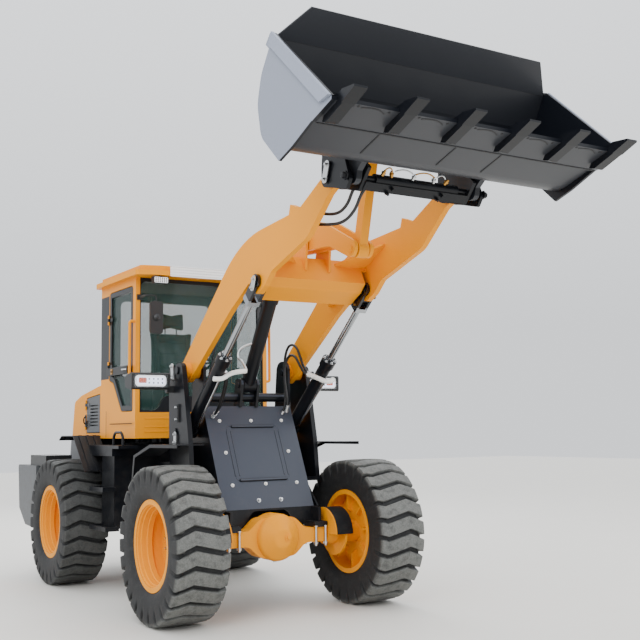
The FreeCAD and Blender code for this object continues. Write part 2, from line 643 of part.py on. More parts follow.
def bellcrank():
    rows = [(CRANK_TAIL_UV[0] - 55, CRANK_TAIL_UV[1] - 20, 50), (CRANK_TAIL_UV[0] - 20, CRANK_TAIL_UV[1] + 58, 50),
            (1500, 465, 300), (1760, 260, 200), (CRANK_NOSE_UV[0] + 75, CRANK_NOSE_UV[1] + 10, 60),
            (CRANK_NOSE_UV[0] + 5, CRANK_NOSE_UV[1] - 78, 60), (CRANK_NOSE_UV[0] - 60, CRANK_NOSE_UV[1] - 20, 30),
            (1740, 60, 200), (1480, 205, 150), (CRANK_TAIL_UV[0] + 20, CRANK_TAIL_UV[1] - 62, 40)]
    plate = boom_plate(rows, CRANK_HALF_GAP, CRANK_HALF_GAP + CRANK_PLATE)
    sleeve = pin_x(CRANK_PIN, -CRANK_HALF_GAP, CRANK_HALF_GAP, 62)
    body = fuse(plate, mirrored(plate), sleeve)
    reach = CRANK_HALF_GAP + CRANK_PLATE + 2
    body = cut(body, pin_x(CRANK_PIN, -reach, reach, CRANK_PIN_RADIUS + PIN_CLEARANCE))
    outer = CRANK_HALF_GAP + CRANK_PLATE
    studs = [pin_x(point, outer - 1, outer + 10, SMALL_PIN) for point in (CRANK_NOSE, CRANK_TAIL)]
    return fuse(body, *studs, *[mirrored(stud) for stud in studs])


def tilt_link():
    """Bar from the bellcrank's nose up to the coupler."""
    low = V(0, CRANK_NOSE[0], CRANK_NOSE[1])
    high = V(0, LINK_TOP[0], LINK_TOP[1])
    length = (high - low).Length
    bar = box(-LINK_HALF_WIDTH + 8, LINK_HALF_WIDTH - 8, -LINK_DEPTH / 2, LINK_DEPTH / 2, 0, length)
    low_eye = rod(V(-LINK_HALF_WIDTH, 0, 0), V(LINK_HALF_WIDTH, 0, 0), 58)
    high_eye = rod(V(-LINK_HALF_WIDTH, 0, length), V(LINK_HALF_WIDTH, 0, length), 54)
    body = fuse(bar, low_eye, high_eye)
    body = cut(body, rod(V(-60, 0, 0), V(60, 0, 0), SMALL_PIN + PIN_CLEARANCE),
               rod(V(-60, 0, length), V(60, 0, length), SMALL_PIN + PIN_CLEARANCE))
    lean = math.degrees(math.atan2(low.y - high.y, high.z - low.z))
    body = turned(body, lean, ORIGIN, X_AXIS)
    return moved(body, 0, low.y, low.z)


# Cylinders, drawn along +Z from the base eye and then laid along their line

def laid(shape, base, eye):
    lean = math.degrees(math.atan2(base[0] - eye[0], eye[1] - base[1]))
    return moved(turned(shape, lean, ORIGIN, X_AXIS), 0, base[0], base[1])


def barrel(radius, length, bore_radius, pin_radius, half_width, eye_radius):
    eye = rod(V(-half_width, 0, 0), V(half_width, 0, 0), eye_radius)
    body = rod(V(0, 0, 0), V(0, 0, length), radius)
    gland = rod(V(0, 0, length - 70), V(0, 0, length), radius + 10)
    whole = fuse(body, eye, gland)
    bore = rod(V(0, 0, 60 + eye_radius), V(0, 0, length + 1), bore_radius + SEAT_GAP)
    reach = max(half_width, radius) + 1
    return cut(whole, bore, rod(V(-reach, 0, 0), V(reach, 0, 0), pin_radius + PIN_CLEARANCE))


def lift_barrels():
    shape = barrel(LIFT_BARREL_RADIUS, LIFT_BARREL_LENGTH, LIFT_ROD_RADIUS, SMALL_PIN, 48, 58)
    return pair(moved(laid(shape, LIFT_BASE, LIFT_EYE), ARM_X, 0, 0))


def lift_rods():
    """Rods with fork ends that straddle the arms' lower ears."""
    length = math.hypot(LIFT_EYE[0] - LIFT_BASE[0], LIFT_EYE[1] - LIFT_BASE[1])
    cheek = FORK_HALF - FORK_CHEEK
    body = rod(V(0, 0, LIFT_ROD_START), V(0, 0, length - 195), LIFT_ROD_RADIUS)
    fork = box(-FORK_HALF, FORK_HALF, -45, 45, length - 212, length - 174)
    solids = [body, fork]
    for sign in (-1, 1):
        low = cheek if sign > 0 else -FORK_HALF
        solids.append(box(low, low + FORK_CHEEK, -42, 42, length - 180, length))
        solids.append(rod(V(low, 0, length), V(low + FORK_CHEEK, 0, length), 52))
        cap = low + FORK_CHEEK if sign > 0 else low
        solids.append(rod(V(cap, 0, length), V(cap + sign * FORK_CAP, 0, length), SMALL_PIN))
    return pair(moved(laid(fuse(*solids), LIFT_BASE, LIFT_EYE), ARM_X, 0, 0))


def tilt_barrel():
    shape = barrel(TILT_BARREL_RADIUS, TILT_BARREL_LENGTH, TILT_ROD_RADIUS, SMALL_PIN, TILT_BARREL_RADIUS, 62)
    return laid(shape, TILT_BASE, CRANK_TAIL)


def tilt_rod():
    length = math.hypot(CRANK_TAIL[0] - TILT_BASE[0], CRANK_TAIL[1] - TILT_BASE[1])
    half = CRANK_HALF_GAP - SIDE_CLEARANCE
    body = rod(V(0, 0, TILT_ROD_START), V(0, 0, length - 40), TILT_ROD_RADIUS)
    eye = rod(V(-half, 0, length), V(half, 0, length), 56)
    return laid(cut(fuse(body, eye), rod(V(-60, 0, length), V(60, 0, length), SMALL_PIN + PIN_CLEARANCE)),
                TILT_BASE, CRANK_TAIL)


def steer_barrel(sign):
    base = V(sign * STEER_X, STEER_BASE_Y, STEER_Z)
    front = V(sign * STEER_X, STEER_BASE_Y - STEER_BARREL_LENGTH, STEER_Z)
    eye = rod(base - Z_AXIS * STEER_EYE_HALF, base + Z_AXIS * STEER_EYE_HALF, 46)
    body = fuse(rod(base, front, STEER_BARREL_RADIUS), eye)
    bore = rod(front - Y_AXIS, base - Y_AXIS * 80, STEER_ROD_RADIUS + SEAT_GAP)
    return cut(body, bore, rod(base - Z_AXIS * 50, base + Z_AXIS * 50, SMALL_PIN - 6 + PIN_CLEARANCE))


def steer_rod(sign):
    eye = V(sign * STEER_X, STEER_EYE_Y, STEER_Z)
    back = V(sign * STEER_X, STEER_BASE_Y - 260, STEER_Z)
    ring = rod(eye - Z_AXIS * STEER_EYE_HALF, eye + Z_AXIS * STEER_EYE_HALF, 40)
    body = fuse(rod(eye, back, STEER_ROD_RADIUS), ring)
    return cut(body, rod(eye - Z_AXIS * 50, eye + Z_AXIS * 50, SMALL_PIN - 6 + PIN_CLEARANCE))


# Bucket and coupler

# the floor's end and the cutting edge under it, with the seat gap of the adapters
EDGE_SECTION = [(700, 49.3), (760, 67.7), (965.3, 131.7), (968.4, 153.4), (925.1, 156.4), (700, 87)]
SHELL_OUTER = [(930, 142), (330, -42, 230), (105, 330, 330), (308, 724)]


def shell():
    """Rolled bucket shell: floor, round back and cutting edge, with hooks and lugs for the coupler."""
    inner_side = [(320, 717), (120, 329, 316), (335, -25, 216), (925, 156)]
    back = tip_plate(SHELL_OUTER + inner_side, -BUCKET_HALF_WIDTH + SIDE_PLATE, BUCKET_HALF_WIDTH - SIDE_PLATE)
    edge = tip_plate([(760, 68), (965, 132), (968, 153), (755, 94)], -BUCKET_HALF_WIDTH, BUCKET_HALF_WIDTH)
    hook = tip_plate([(185, 475), (20, 480, 10), (-46, 470, 30), (-50, HOOK_TUBE[1], 4), (60, HOOK_TUBE[1]),
                      (75, 395), (130, 260), (150, 215)], HOOK_X, HOOK_X + 40)
    hook = cut(hook, pin_x(from_tip(*HOOK_TUBE), 0, BUCKET_HALF_WIDTH, HOOK_TUBE_RADIUS + SEAT_GAP))
    lug = tip_plate([(360, 34), (240, 122), (178, 60, 20), (178, -96, 45), (272, -96, 45), (290, -20, 20)],
                    ARM_X - LOCK_LUG / 2, ARM_X + LOCK_LUG / 2)
    lug = cut(lug, pin_x(from_tip(*LOCK_POINT), 0, BUCKET_HALF_WIDTH, LOCK_PIN + PIN_CLEARANCE))
    return fuse(back, edge, hook, mirrored(hook), lug, mirrored(lug))


def side_plates():
    outline = [(294, 739), (237, 685), (276, 648), (177, 517, 200), (125, 345, 200), (170, 130, 150),
               (383, -66), (531, -20), (846, 107), (965, 158), (340, 725)]
    plate = tip_plate(outline, BUCKET_HALF_WIDTH - SIDE_PLATE, BUCKET_HALF_WIDTH)
    band = tip_plate([(965, 158), (868, 142), (300, 660), (340, 730)], BUCKET_HALF_WIDTH, BUCKET_HALF_WIDTH + 20)
    half = fuse(plate, band)
    return [half, mirrored(half)]


def teeth():
    """Adapters on the cutting edge with pointed teeth."""
    solids = []
    first = -TOOTH_SPACING * (TOOTH_COUNT - 1) / 2
    for index in range(TOOTH_COUNT):
        x = first + index * TOOTH_SPACING
        adapter = tip_plate([(800, 58), (845, 46), (1010, 108), (1010, 182), (860, 158), (858, 140)], x - 38, x + 38)
        adapter = cut(adapter, tip_plate(EDGE_SECTION, x - 39, x + 39))
        point = tip_plate([(1010, 182), (TOOTH_REACH, TOOTH_RISE + 6), (TOOTH_REACH, TOOTH_RISE - 6), (1010, 108)],
                          x - 44, x + 44)
        solids.append(fuse(adapter, point))
    return Part.makeCompound(solids)


def spill_guard():
    """Slanted plate welded on the shell's top edge."""
    low_y, low_z = from_tip(308, 714)
    high_y, high_z = from_tip(462, 882)
    corners = [V(-1088, low_y, low_z), V(1088, low_y, low_z), V(919, high_y, high_z), V(-919, high_y, high_z)]
    face = Part.Face(Part.makePolygon(corners + corners[:1]))
    normal = (corners[1] - corners[0]).cross(corners[2] - corners[1]).normalize()
    return face.extrude(normal * 12)


def bucket():
    return fuse(shell(), *side_plates(), spill_guard())


def coupler():
    """Quick coupler: hanger plates, hook tube, cross bar, lock cylinder with its pins, and the link's ears."""
    x_in = ARM_X - ARM_THICK / 2 - 12 - SIDE_CLEARANCE
    x_out = ARM_X + ARM_THICK / 2 + 12 + SIDE_CLEARANCE
    x_face = x_out + COUPLER_PLATE
    rear_edge = [(-62, 62, 55), (-62, -62, 55), (35, -82, 30)]
    top = [(100, 200, 60), (58, 460, 30), (-20, 460, 30)]
    outer = tip_plate(rear_edge + [(225, -136, 20), (268, -75, 20), (215, 70, 20)] + top, x_out, x_face)
    inner = tip_plate(rear_edge + [(205, -130), (325, 0, 10), (285, 38), (215, 100)] + top, x_in - COUPLER_PLATE, x_in)
    pin = pin_x(TIP_PIN, x_in - COUPLER_PLATE - 10, x_face + 12, TIP_PIN_RADIUS)
    keeper = tip_plate([(-58, -20, 28), (0, -46, 28), (64, 78, 28), (8, 106, 28)], x_face, x_face + 10)
    tube_upper = pin_x(from_tip(*HOOK_TUBE), -x_out, x_out, HOOK_TUBE_RADIUS)
    low, high = CROSS_BAR
    bar = tip_plate([low, high, (high[0] - 11, high[1] + CROSS_BAR_PLATE * 0.73), (low[0] - 11, low[1] + 12)],
                    COUPLER_PLATE - x_in, x_in - COUPLER_PLATE)
    lock = from_tip(*LOCK_POINT)
    lock_barrel = pin_x(lock, -LOCK_BARREL_HALF, LOCK_BARREL_HALF, LOCK_BARREL)
    lock_rod = pin_x(lock, LOCK_BARREL_HALF, x_face + 8, LOCK_PIN)
    ear = tip_plate([(-252, 349 - 60, 55), (-310, 349, 55), (-252, 349 + 62, 55), (20, 462), (60, 400), (0, 300)],
                    LINK_HALF_WIDTH + SIDE_CLEARANCE, LINK_HALF_WIDTH + SIDE_CLEARANCE + 22)
    reach = LINK_HALF_WIDTH + SIDE_CLEARANCE + 34
    link_pin = pin_x(LINK_TOP, -reach, reach, SMALL_PIN)
    half = [outer, inner, pin, keeper, lock_rod, ear]
    return fuse(tube_upper, bar, lock_barrel, link_pin, *half, *[mirrored(shape) for shape in half])


# Rear frame

def rear_frame():
    """Side plates, front wall with the articulation forks, engine deck and axle hangers."""
    x0 = REAR_SIDE_X
    x1 = REAR_SIDE_X + REAR_PLATE
    outline = [(REAR_WALL_Y, 560, 40), (REAR_WALL_Y, 1330), (CAB_REAR - 15, 1330), (CAB_REAR + 35, DECK_Z - DECK_PLATE),
               (HOOD_REAR, DECK_Z - DECK_PLATE), (HOOD_REAR, 640), (WHEEL_BASE + 315, 640),
               (WHEEL_BASE + 255, 800, 60), (WHEEL_BASE - 255, 800, 60), (WHEEL_BASE - 345, 600, 60)]
    plate = prism(outline, "x", x0, x1)
    solids = [plate, mirrored(plate)]
    solids.append(box(-x0, x0, REAR_WALL_Y, REAR_WALL_Y + 25, 560, 1330))
    deck = box(-HOOD_X, HOOD_X, CAB_REAR + 15, HOOD_REAR, DECK_Z - DECK_PLATE, DECK_Z)
    solids.append(cut(deck, box(-ENGINE_X - 30, ENGINE_X + 30, ENGINE_FRONT - 30, ENGINE_FRONT + ENGINE_LENGTH + 30,
                                DECK_Z - DECK_PLATE - 1, DECK_Z + 1)))
    for y in (ENGINE_FRONT + 90, ENGINE_FRONT + 470):
        engine_mount = box(ENGINE_X, x0, y, y + 60, ENGINE_LOW + 40, ENGINE_LOW + 75)
        solids += [engine_mount, mirrored(engine_mount)]
    solids.append(box(-x0, x0, HOOD_REAR - 25, HOOD_REAR, 640, DECK_Z - DECK_PLATE))
    for y in (REAR_WALL_Y + 60, CAB_REAR - 65):
        mount = rod(V(300, y, 1300), V(300, y, CAB_BOTTOM), 42)
        bracket = box(255, x0, y - 45, y + 45, 1290, 1312)
        solids += [mount, mirrored(mount), bracket, mirrored(bracket)]
    gap = SIDE_CLEARANCE
    for low in (UPPER_LUG_Z, LOWER_LUG_Z):
        for fork_low in (low - gap - FORK_PLATE, low + LUG_PLATE + gap):
            solids.append(pivot_lug(fork_low, fork_low + FORK_PLATE, REAR_WALL_Y + 1, 330))
        solids.append(rod(V(0, PIVOT_Y, low - gap - FORK_PLATE - 12),
                          V(0, PIVOT_Y, low + LUG_PLATE + gap + FORK_PLATE + 12), PIVOT_RADIUS))
    for sign in (-1, 1):
        for low in (STEER_Z - STEER_EAR_HALF - 16, STEER_Z + STEER_EAR_HALF):
            solids.append(box(sign * STEER_X - 55, sign * STEER_X + 55, STEER_BASE_Y - 55, REAR_WALL_Y + 1,
                              low, low + 16))
        solids.append(rod(V(sign * STEER_X, STEER_BASE_Y, STEER_Z - 66), V(sign * STEER_X, STEER_BASE_Y, STEER_Z + 66),
                          SMALL_PIN - 6))
    for y in (WHEEL_BASE - HANGER_Y - HANGER, WHEEL_BASE + HANGER_Y):
        hanger = prism([(-x0, 980), (x0, 980), (x0, 860), (160, 455, 90), (-160, 455, 90), (-x0, 860)],
                       "y", y, y + HANGER)
        solids.append(hanger)
    frame = fuse(*solids)
    hole = rod(V(0, WHEEL_BASE - 400, TYRE_RADIUS), V(0, WHEEL_BASE + 400, TYRE_RADIUS), TRUNNION_RADIUS + SEAT_GAP)
    return cut(frame, hole)


def rear_axle():
    """The same axle, with trunnion sleeves in the frame's hangers."""
    body = moved(axle(), 0, WHEEL_BASE, 0)
    reach = AXLE_ARM_HALF_DEPTH + TRUNNION_REACH
    sleeve = rod(V(0, WHEEL_BASE - reach, TYRE_RADIUS), V(0, WHEEL_BASE + reach, TYRE_RADIUS), TRUNNION_RADIUS)
    return fuse(body, sleeve)


def counterweight():
    depth = COUNTERWEIGHT_DEPTH
    wing_front = HOOD_REAR + 0.12 * depth
    toe = HOOD_REAR + 0.61 * depth
    back = REAR_END - 0.08 * depth
    outline = [(wing_front, REAR_TOP), (REAR_END, REAR_TOP, 0.04 * depth), (back, 650), (toe, 490),
               (HOOD_REAR + 0.22 * depth, 475), (wing_front, 530)]
    wing = prism(outline, "x", 560, COUNTERWEIGHT_X)
    centre = prism([(HOOD_REAR, 560), (HOOD_REAR, DECK_Z - SEAT_GAP), (HOOD_REAR + 0.44 * depth, DECK_Z - SEAT_GAP),
                    (HOOD_REAR + 0.51 * depth, REAR_TOP), (REAR_END, REAR_TOP, 0.04 * depth), (back, 650),
                    (toe, 490), (HOOD_REAR + 0.08 * depth, 490)], "x", -560, 560)
    slot = box(-TOW_SLOT_X, TOW_SLOT_X, TOW_PIN_Y - 80, REAR_END + 1, TOW_Z - TOW_SLOT / 2, TOW_Z + TOW_SLOT / 2)
    bore = rod(V(0, TOW_PIN_Y, TOW_Z - TOW_LENGTH / 2), V(0, TOW_PIN_Y, REAR_TOP + 1), TOW_BORE)
    return cut(fuse(centre, wing, mirrored(wing)), slot, bore)


def engine_block():
    return box(-ENGINE_X, ENGINE_X, ENGINE_FRONT, ENGINE_FRONT + ENGINE_LENGTH, ENGINE_LOW, ENGINE_TOP)


def engine_hood():
    shoulder = HOOD_FRONT + 110
    brow = HOOD_REAR - 220
    outer = [(HOOD_FRONT, DECK_Z), (HOOD_FRONT, HOOD_TOP_FRONT, 30), (shoulder, HOOD_TOP_FRONT - 8, 200),
             (brow, HOOD_TOP_REAR, 120), (HOOD_REAR - 10, HOOD_TOP_REAR - 60, 60), (HOOD_REAR + 60, DECK_Z)]
    body = prism(outer, "x", -HOOD_X, HOOD_X)
    wall = HOOD_WALL
    inside = [(HOOD_FRONT + wall, DECK_Z - 1), (HOOD_FRONT + wall, HOOD_TOP_FRONT - wall),
              (shoulder, HOOD_TOP_FRONT - wall - 14), (brow, HOOD_TOP_REAR - wall), (HOOD_REAR - 50, HOOD_TOP_REAR - 90),
              (HOOD_REAR + 20, DECK_Z - 1)]
    body = cut(body, prism(inside, "x", -HOOD_X + wall, HOOD_X - wall))
    opening = prism([(SIDE_DOOR_FRONT, SIDE_DOOR_LOW), (SIDE_DOOR_FRONT, SIDE_DOOR_HIGH + 30),
                     (SIDE_DOOR_REAR, SIDE_DOOR_HIGH), (SIDE_DOOR_REAR, SIDE_DOOR_LOW)], "x", -HOOD_X - 1, HOOD_X + 1)
    grille = box(-430, 430, HOOD_REAR - 60, HOOD_REAR + 80, DECK_Z + 60, HOOD_TOP_REAR - 130)
    chimney = rod(V(EXHAUST_X, EXHAUST_Y, ENGINE_TOP), V(EXHAUST_X, EXHAUST_Y, HOOD_TOP_FRONT), EXHAUST_RADIUS + 8)
    hinges = [hinge(HOOD_X, SIDE_DOOR_REAR, z)[1] for z in SIDE_HINGES]
    return fuse(cut(body, opening, grille, chimney), *hinges, *[mirrored(shape) for shape in hinges])


def hood_grille():
    """Rear radiator grille: a frame with cross slats."""
    y0 = HOOD_REAR - 20
    solids = [box(-430, 430, y0, y0 + 18, DECK_Z + 60, DECK_Z + 85), box(-430, 430, y0, y0 + 18, 1645, 1670),
              box(-430, -405, y0, y0 + 18, DECK_Z + 60, 1670), box(405, 430, y0, y0 + 18, DECK_Z + 60, 1670)]
    slat_low = DECK_Z + 100
    slat_count = 6
    pitch = (1645 - slat_low) / slat_count
    for index in range(slat_count):
        z = slat_low + index * pitch
        solids.append(box(-406, 406, y0 + 2, y0 + 16, z, z + 14))
    return fuse(*solids)


def hood_door():
    gap = DOOR_GAP
    outline = [(SIDE_DOOR_FRONT + gap, SIDE_DOOR_LOW + gap), (SIDE_DOOR_FRONT + gap, SIDE_DOOR_HIGH + 30 - gap),
               (SIDE_DOOR_REAR - gap, SIDE_DOOR_HIGH - gap), (SIDE_DOOR_REAR - gap, SIDE_DOOR_LOW + gap)]
    panel = prism(outline, "x", HOOD_X - HOOD_WALL, HOOD_X)
    slots = [box(HOOD_X - HOOD_WALL - 1, HOOD_X + 1, SIDE_DOOR_FRONT + 60, SIDE_DOOR_REAR - 110,
                 SIDE_DOOR_LOW + 70 + index * LOUVRE_PITCH, SIDE_DOOR_LOW + 70 + LOUVRE + index * LOUVRE_PITCH)
             for index in range(LOUVRE_COUNT)]
    panel = cut(panel, *slots)
    return fuse(panel, *[hinge(HOOD_X, SIDE_DOOR_REAR, z)[0] for z in SIDE_HINGES])


def rear_fenders():
    """Fenders over the rear tyres, bent down in front towards the steps, with three stiffening ribs."""
    top = WHEEL_BASE - 305
    toe = WHEEL_BASE - 655
    tail = WHEEL_BASE + 55
    path = [(tail + 80, 1360), (tail, 1400), (top, 1400), (toe, 1075), (toe + 5, 1070), (top + 3, 1392),
            (tail - 2, 1392), (tail + 76, 1354)]
    inner = CAB_X + SEAT_GAP
    plate = prism(path, "x", inner, 920)
    ribs = [prism([(top, 1400), (top - 15, 1404), (toe - 10, 1083), (toe, 1075)], "x", x, x + 30)
            for x in (700, 770, 840)]
    support = box(REAR_SIDE_X + REAR_PLATE, HOOD_X + 6, WHEEL_BASE - 255, WHEEL_BASE + 15, DECK_Z - DECK_PLATE - 60,
                  DECK_Z - DECK_PLATE)
    flange = box(HOOD_X, inner + 2, WHEEL_BASE - 295, WHEEL_BASE + 55, DECK_Z - DECK_PLATE - 60, 1395)
    return pair(fuse(plate, support, flange, *ribs))


def side_tanks():
    """Fuel and hydraulic tanks between the wheels, each with two step treads."""
    x0 = REAR_SIDE_X + REAR_PLATE
    body = prism([(TANK_FRONT, 570, 30), (TANK_FRONT, TRAY_LOW), (TANK_REAR, TRAY_LOW), (TANK_REAR, 570, 30)],
                 "x", x0, TANK_X)
    # height and front end of each tread
    treads = [box(TANK_X - 5, TREAD_X, front, TANK_REAR - 10, z, z + 38) for z, front in ((565, 1430), (905, 1510))]
    recesses = [box(TANK_X + 10, TREAD_X - 12, front + 12, TANK_REAR - 22, z + 24, z + 39)
                for z, front in ((565, 1430), (905, 1510))]
    cap = rod(V(560, TANK_FRONT + 70, TRAY_LOW - 15), V(560, TANK_FRONT + 70, TRAY_LOW - 3), 40)
    return pair(cut(fuse(body, cap, *treads), *recesses))


def deck_trays():
    """Catwalk trays beside the cab, each with a thin lip in front and a hoop rail; their rear follows the fender."""
    x0 = REAR_SIDE_X + REAR_PLATE
    outline = [(1500, TRAY_LOW), (1500, TRAY_TOP), (WHEEL_BASE - 428, TRAY_TOP), (WHEEL_BASE - 530, TRAY_LOW)]
    inside = [(1508, TRAY_LOW - 1), (1508, TRAY_TOP - 10), (WHEEL_BASE - 442, TRAY_TOP - 10),
              (WHEEL_BASE - 542, TRAY_LOW - 1)]
    channel = cut(prism(outline, "x", x0, TRAY_X), prism(inside, "x", x0 + 8, TRAY_X - 8))
    lip = box(620, TRAY_X, 1340, 1501, TRAY_TOP - 28, TRAY_TOP)
    x = TRAY_X - 50
    foot = TRAY_TOP - 5
    hoop = tube([V(x, 1365, foot), V(x, 1365, HOOP_TOP), V(x, 1600, HOOP_TOP), V(x, 1600, foot)], 12, 70)
    return pair(fuse(channel, lip, hoop))


# Cab

def hinge(face_x, edge_y, z):
    """Door side and post side of a hinge on an outer face; its axis stands off the door's rear edge."""
    x = face_x + HINGE_OFF
    y = edge_y - HINGE_BACK
    reach = HINGE_HEIGHT / 2
    third = HINGE_HEIGHT / 6
    plate = 6
    bore = rod(V(x, y, z - reach), V(x, y, z + reach), HINGE_PIN + PIN_CLEARANCE)
    middle = rod(V(x, y, z - third), V(x, y, z + third), HINGE_KNUCKLE)
    leaf = box(face_x, face_x + plate, y - 90, y, z - third, z + third)
    door_side = cut(fuse(middle, leaf), bore)
    post_side = [rod(V(x, y, z - reach), V(x, y, z + reach), HINGE_PIN)]
    for low, high in ((z - reach, z - third - SEAT_GAP), (z + third + SEAT_GAP, z + reach)):
        post_side.append(rod(V(x, y, low), V(x, y, high), HINGE_KNUCKLE))
        post_side.append(box(face_x, face_x + plate, y, edge_y + 45, low, high))
    return door_side, fuse(*post_side)


def cab_floor():
    side = CAB_X - CAB_WALL
    return box(-side, side, CAB_FRONT + CAB_WALL, CAB_REAR - CAB_WALL, CAB_BOTTOM, CAB_BOTTOM + CAB_FLOOR)


DOOR_OUTLINE = [(DOOR_FRONT, SILL_Z, 20), (DOOR_FRONT, HEADER_Z, 40), (DOOR_REAR, HEADER_Z, 40), (DOOR_REAR, 1905, 30),
                (DOOR_REAR - 0.17 * DOOR_LENGTH, 1880, 60), (DOOR_REAR - 0.53 * DOOR_LENGTH, SILL_Z, 60)]
REAR_WINDOW = [(-480, 1960, 60), (-480, 2700, 60), (480, 2700, 60), (480, 1960, 60)]
SCREEN = [(-612, 1615, 30), (-612, 2770, 50), (612, 2770, 50), (612, 1615, 30), (450, 1615, 90), (385, 1745, 60),
          (-385, 1745, 60), (-450, 1615, 90)]


def cab_side_walls():
    """Cab sides with their door openings and the fixed halves of the door hinges."""
    wall = box(CAB_X - CAB_WALL, CAB_X, CAB_FRONT, CAB_REAR, CAB_BOTTOM, ROOF_Z)
    wall = cut(wall, prism(DOOR_OUTLINE, "x", CAB_X - CAB_WALL - 1, CAB_X + 1))
    return pair(fuse(wall, *[hinge(CAB_X, DOOR_REAR, z)[1] for z in DOOR_HINGES]))


def cab_front_wall():
    side = CAB_X - CAB_WALL
    wall = box(-side, side, CAB_FRONT, CAB_FRONT + CAB_WALL, CAB_BOTTOM, ROOF_Z)
    return cut(wall, prism(SCREEN, "y", CAB_FRONT - 1, CAB_FRONT + CAB_WALL + 1))


def cab_rear_wall():
    side = CAB_X - CAB_WALL
    wall = box(-side, side, CAB_REAR - CAB_WALL, CAB_REAR, CAB_BOTTOM, ROOF_Z)
    return cut(wall, prism(REAR_WINDOW, "y", CAB_REAR - CAB_WALL - 1, CAB_REAR + 1))


def cab_roof():
    rear = CAB_REAR + 35
    plan = [(-ROOF_X, ROOF_FRONT + 45, 30), (-540, ROOF_FRONT, 30), (540, ROOF_FRONT, 30),
            (ROOF_X, ROOF_FRONT + 45, 30), (ROOF_X, rear, 60), (-ROOF_X, rear, 60)]
    slab = prism(plan, "z", ROOF_Z, ROOF_Z + 45)
    middle = (ROOF_FRONT + rear) / 2
    crown = [(x * 0.93, middle + (y - middle) * 0.95, r) for x, y, r in plan]
    cap = prism(crown, "z", ROOF_Z + 45, ROOF_Z + ROOF_RISE)
    roof = fuse(slab, cap)
    hollow = box(-CAB_X + CAB_WALL, CAB_X - CAB_WALL, CAB_FRONT + CAB_WALL, CAB_REAR - CAB_WALL, ROOF_Z - 1,
                 ROOF_Z + 30)
    return cut(roof, hollow)


def cab_glass():
    screen = prism(SCREEN, "y", CAB_FRONT + 14, CAB_FRONT + 14 + GLASS)
    window = prism(REAR_WINDOW, "y", CAB_REAR - 20, CAB_REAR - 20 + GLASS)
    return Part.makeCompound([screen, window])


def door_frame():
    """Glazed door leaf of the machine's left side, with its hinge leaves at the rear edge."""
    leaf = prism(DOOR_OUTLINE, "x", CAB_X - CAB_WALL, CAB_X, DOOR_GAP)
    window = prism(DOOR_OUTLINE, "x", CAB_X - CAB_WALL - 1, CAB_X + 1, DOOR_GAP + DOOR_FRAME)
    return fuse(cut(leaf, window), *[hinge(CAB_X, DOOR_REAR, z)[0] for z in DOOR_HINGES])


def door_glass():
    return prism(DOOR_OUTLINE, "x", CAB_X - 20, CAB_X - 20 + GLASS, DOOR_GAP + DOOR_FRAME)


def grab_rails():
    x = CAB_X + 45
    foot = CAB_X + SEAT_GAP
    y = CAB_FRONT + 28
    rail = tube([V(foot, y, 2410), V(x, y, 2410), V(x, y, 1890), V(foot, y, 1890)], 13, 20)
    return pair(rail)


def mirrors():
    """Rear-view mirrors ahead of the windscreen, on arms from the front pillars."""
    front = CAB_FRONT - SEAT_GAP
    foot = box(600, 650, front - 10, front, MIRROR_ARM_Z - 25, MIRROR_ARM_Z + 25)
    middle = (MIRROR_X[0] + MIRROR_X[1]) / 2
    arm = tube([V(625, front - 5, MIRROR_ARM_Z), V(625, MIRROR_Y, MIRROR_ARM_Z), V(middle, MIRROR_Y, MIRROR_ARM_Z),
                V(middle, MIRROR_Y, MIRROR_Z[1] - 20)], 8, 25)
    case = prism([(MIRROR_X[0], MIRROR_Z[0], 30), (MIRROR_X[0], MIRROR_Z[1], 30), (MIRROR_X[1], MIRROR_Z[1], 30),
                  (MIRROR_X[1], MIRROR_Z[0], 30)], "y", MIRROR_Y - 14, MIRROR_Y + 16)
    return pair(fuse(foot, arm, case))


def work_lights():
    lamp = prism([(ROOF_FRONT + 12, ROOF_Z - 12, 8), (ROOF_FRONT + 75, ROOF_Z - 12, 8),
                  (ROOF_FRONT + 60, ROOF_Z - 75, 20), (ROOF_FRONT + 12, ROOF_Z - 75, 8)], "x", 430, 570)
    stem = rod(V(500, ROOF_FRONT + 42, ROOF_Z - 13), V(500, ROOF_FRONT + 42, ROOF_Z), 10)
    return pair(fuse(lamp, stem))


def seat_base():
    y0 = 1700
    column = box(-170, 170, y0, y0 + 330, CAB_BOTTOM + CAB_FLOOR, SEAT_Z - SEAT_GAP)
    box_left = box(290, 400, 1560, 2050, CAB_BOTTOM + CAB_FLOOR, CONSOLE_TOP)
    box_right = box(-400, -290, 1560, 2050, CAB_BOTTOM + CAB_FLOOR, CONSOLE_TOP)
    return Part.makeCompound([column, box_left, box_right])


def seat_pads():
    """Padded seat and backrest."""
    seat = prism([(1610, SEAT_Z, 30), (1610, 1900, 40), (2060, 1900, 30), (2060, SEAT_Z, 20)], "x", -250, 250)
    back = prism([(1985, 1900 + SEAT_GAP, 20), (2040, 2600, 40), (2120, 2600, 40), (2090, 1900 + SEAT_GAP, 20)],
                 "x", -240, 240)
    return Part.makeCompound([seat, back])


def steering_column():
    column = prism([(1430, CAB_BOTTOM + CAB_FLOOR), (1400, 1500), (1498, 2000), (1548, 1990), (1536, 1500),
                    (1536, CAB_BOTTOM + CAB_FLOOR)], "x", -70, 70)
    return column


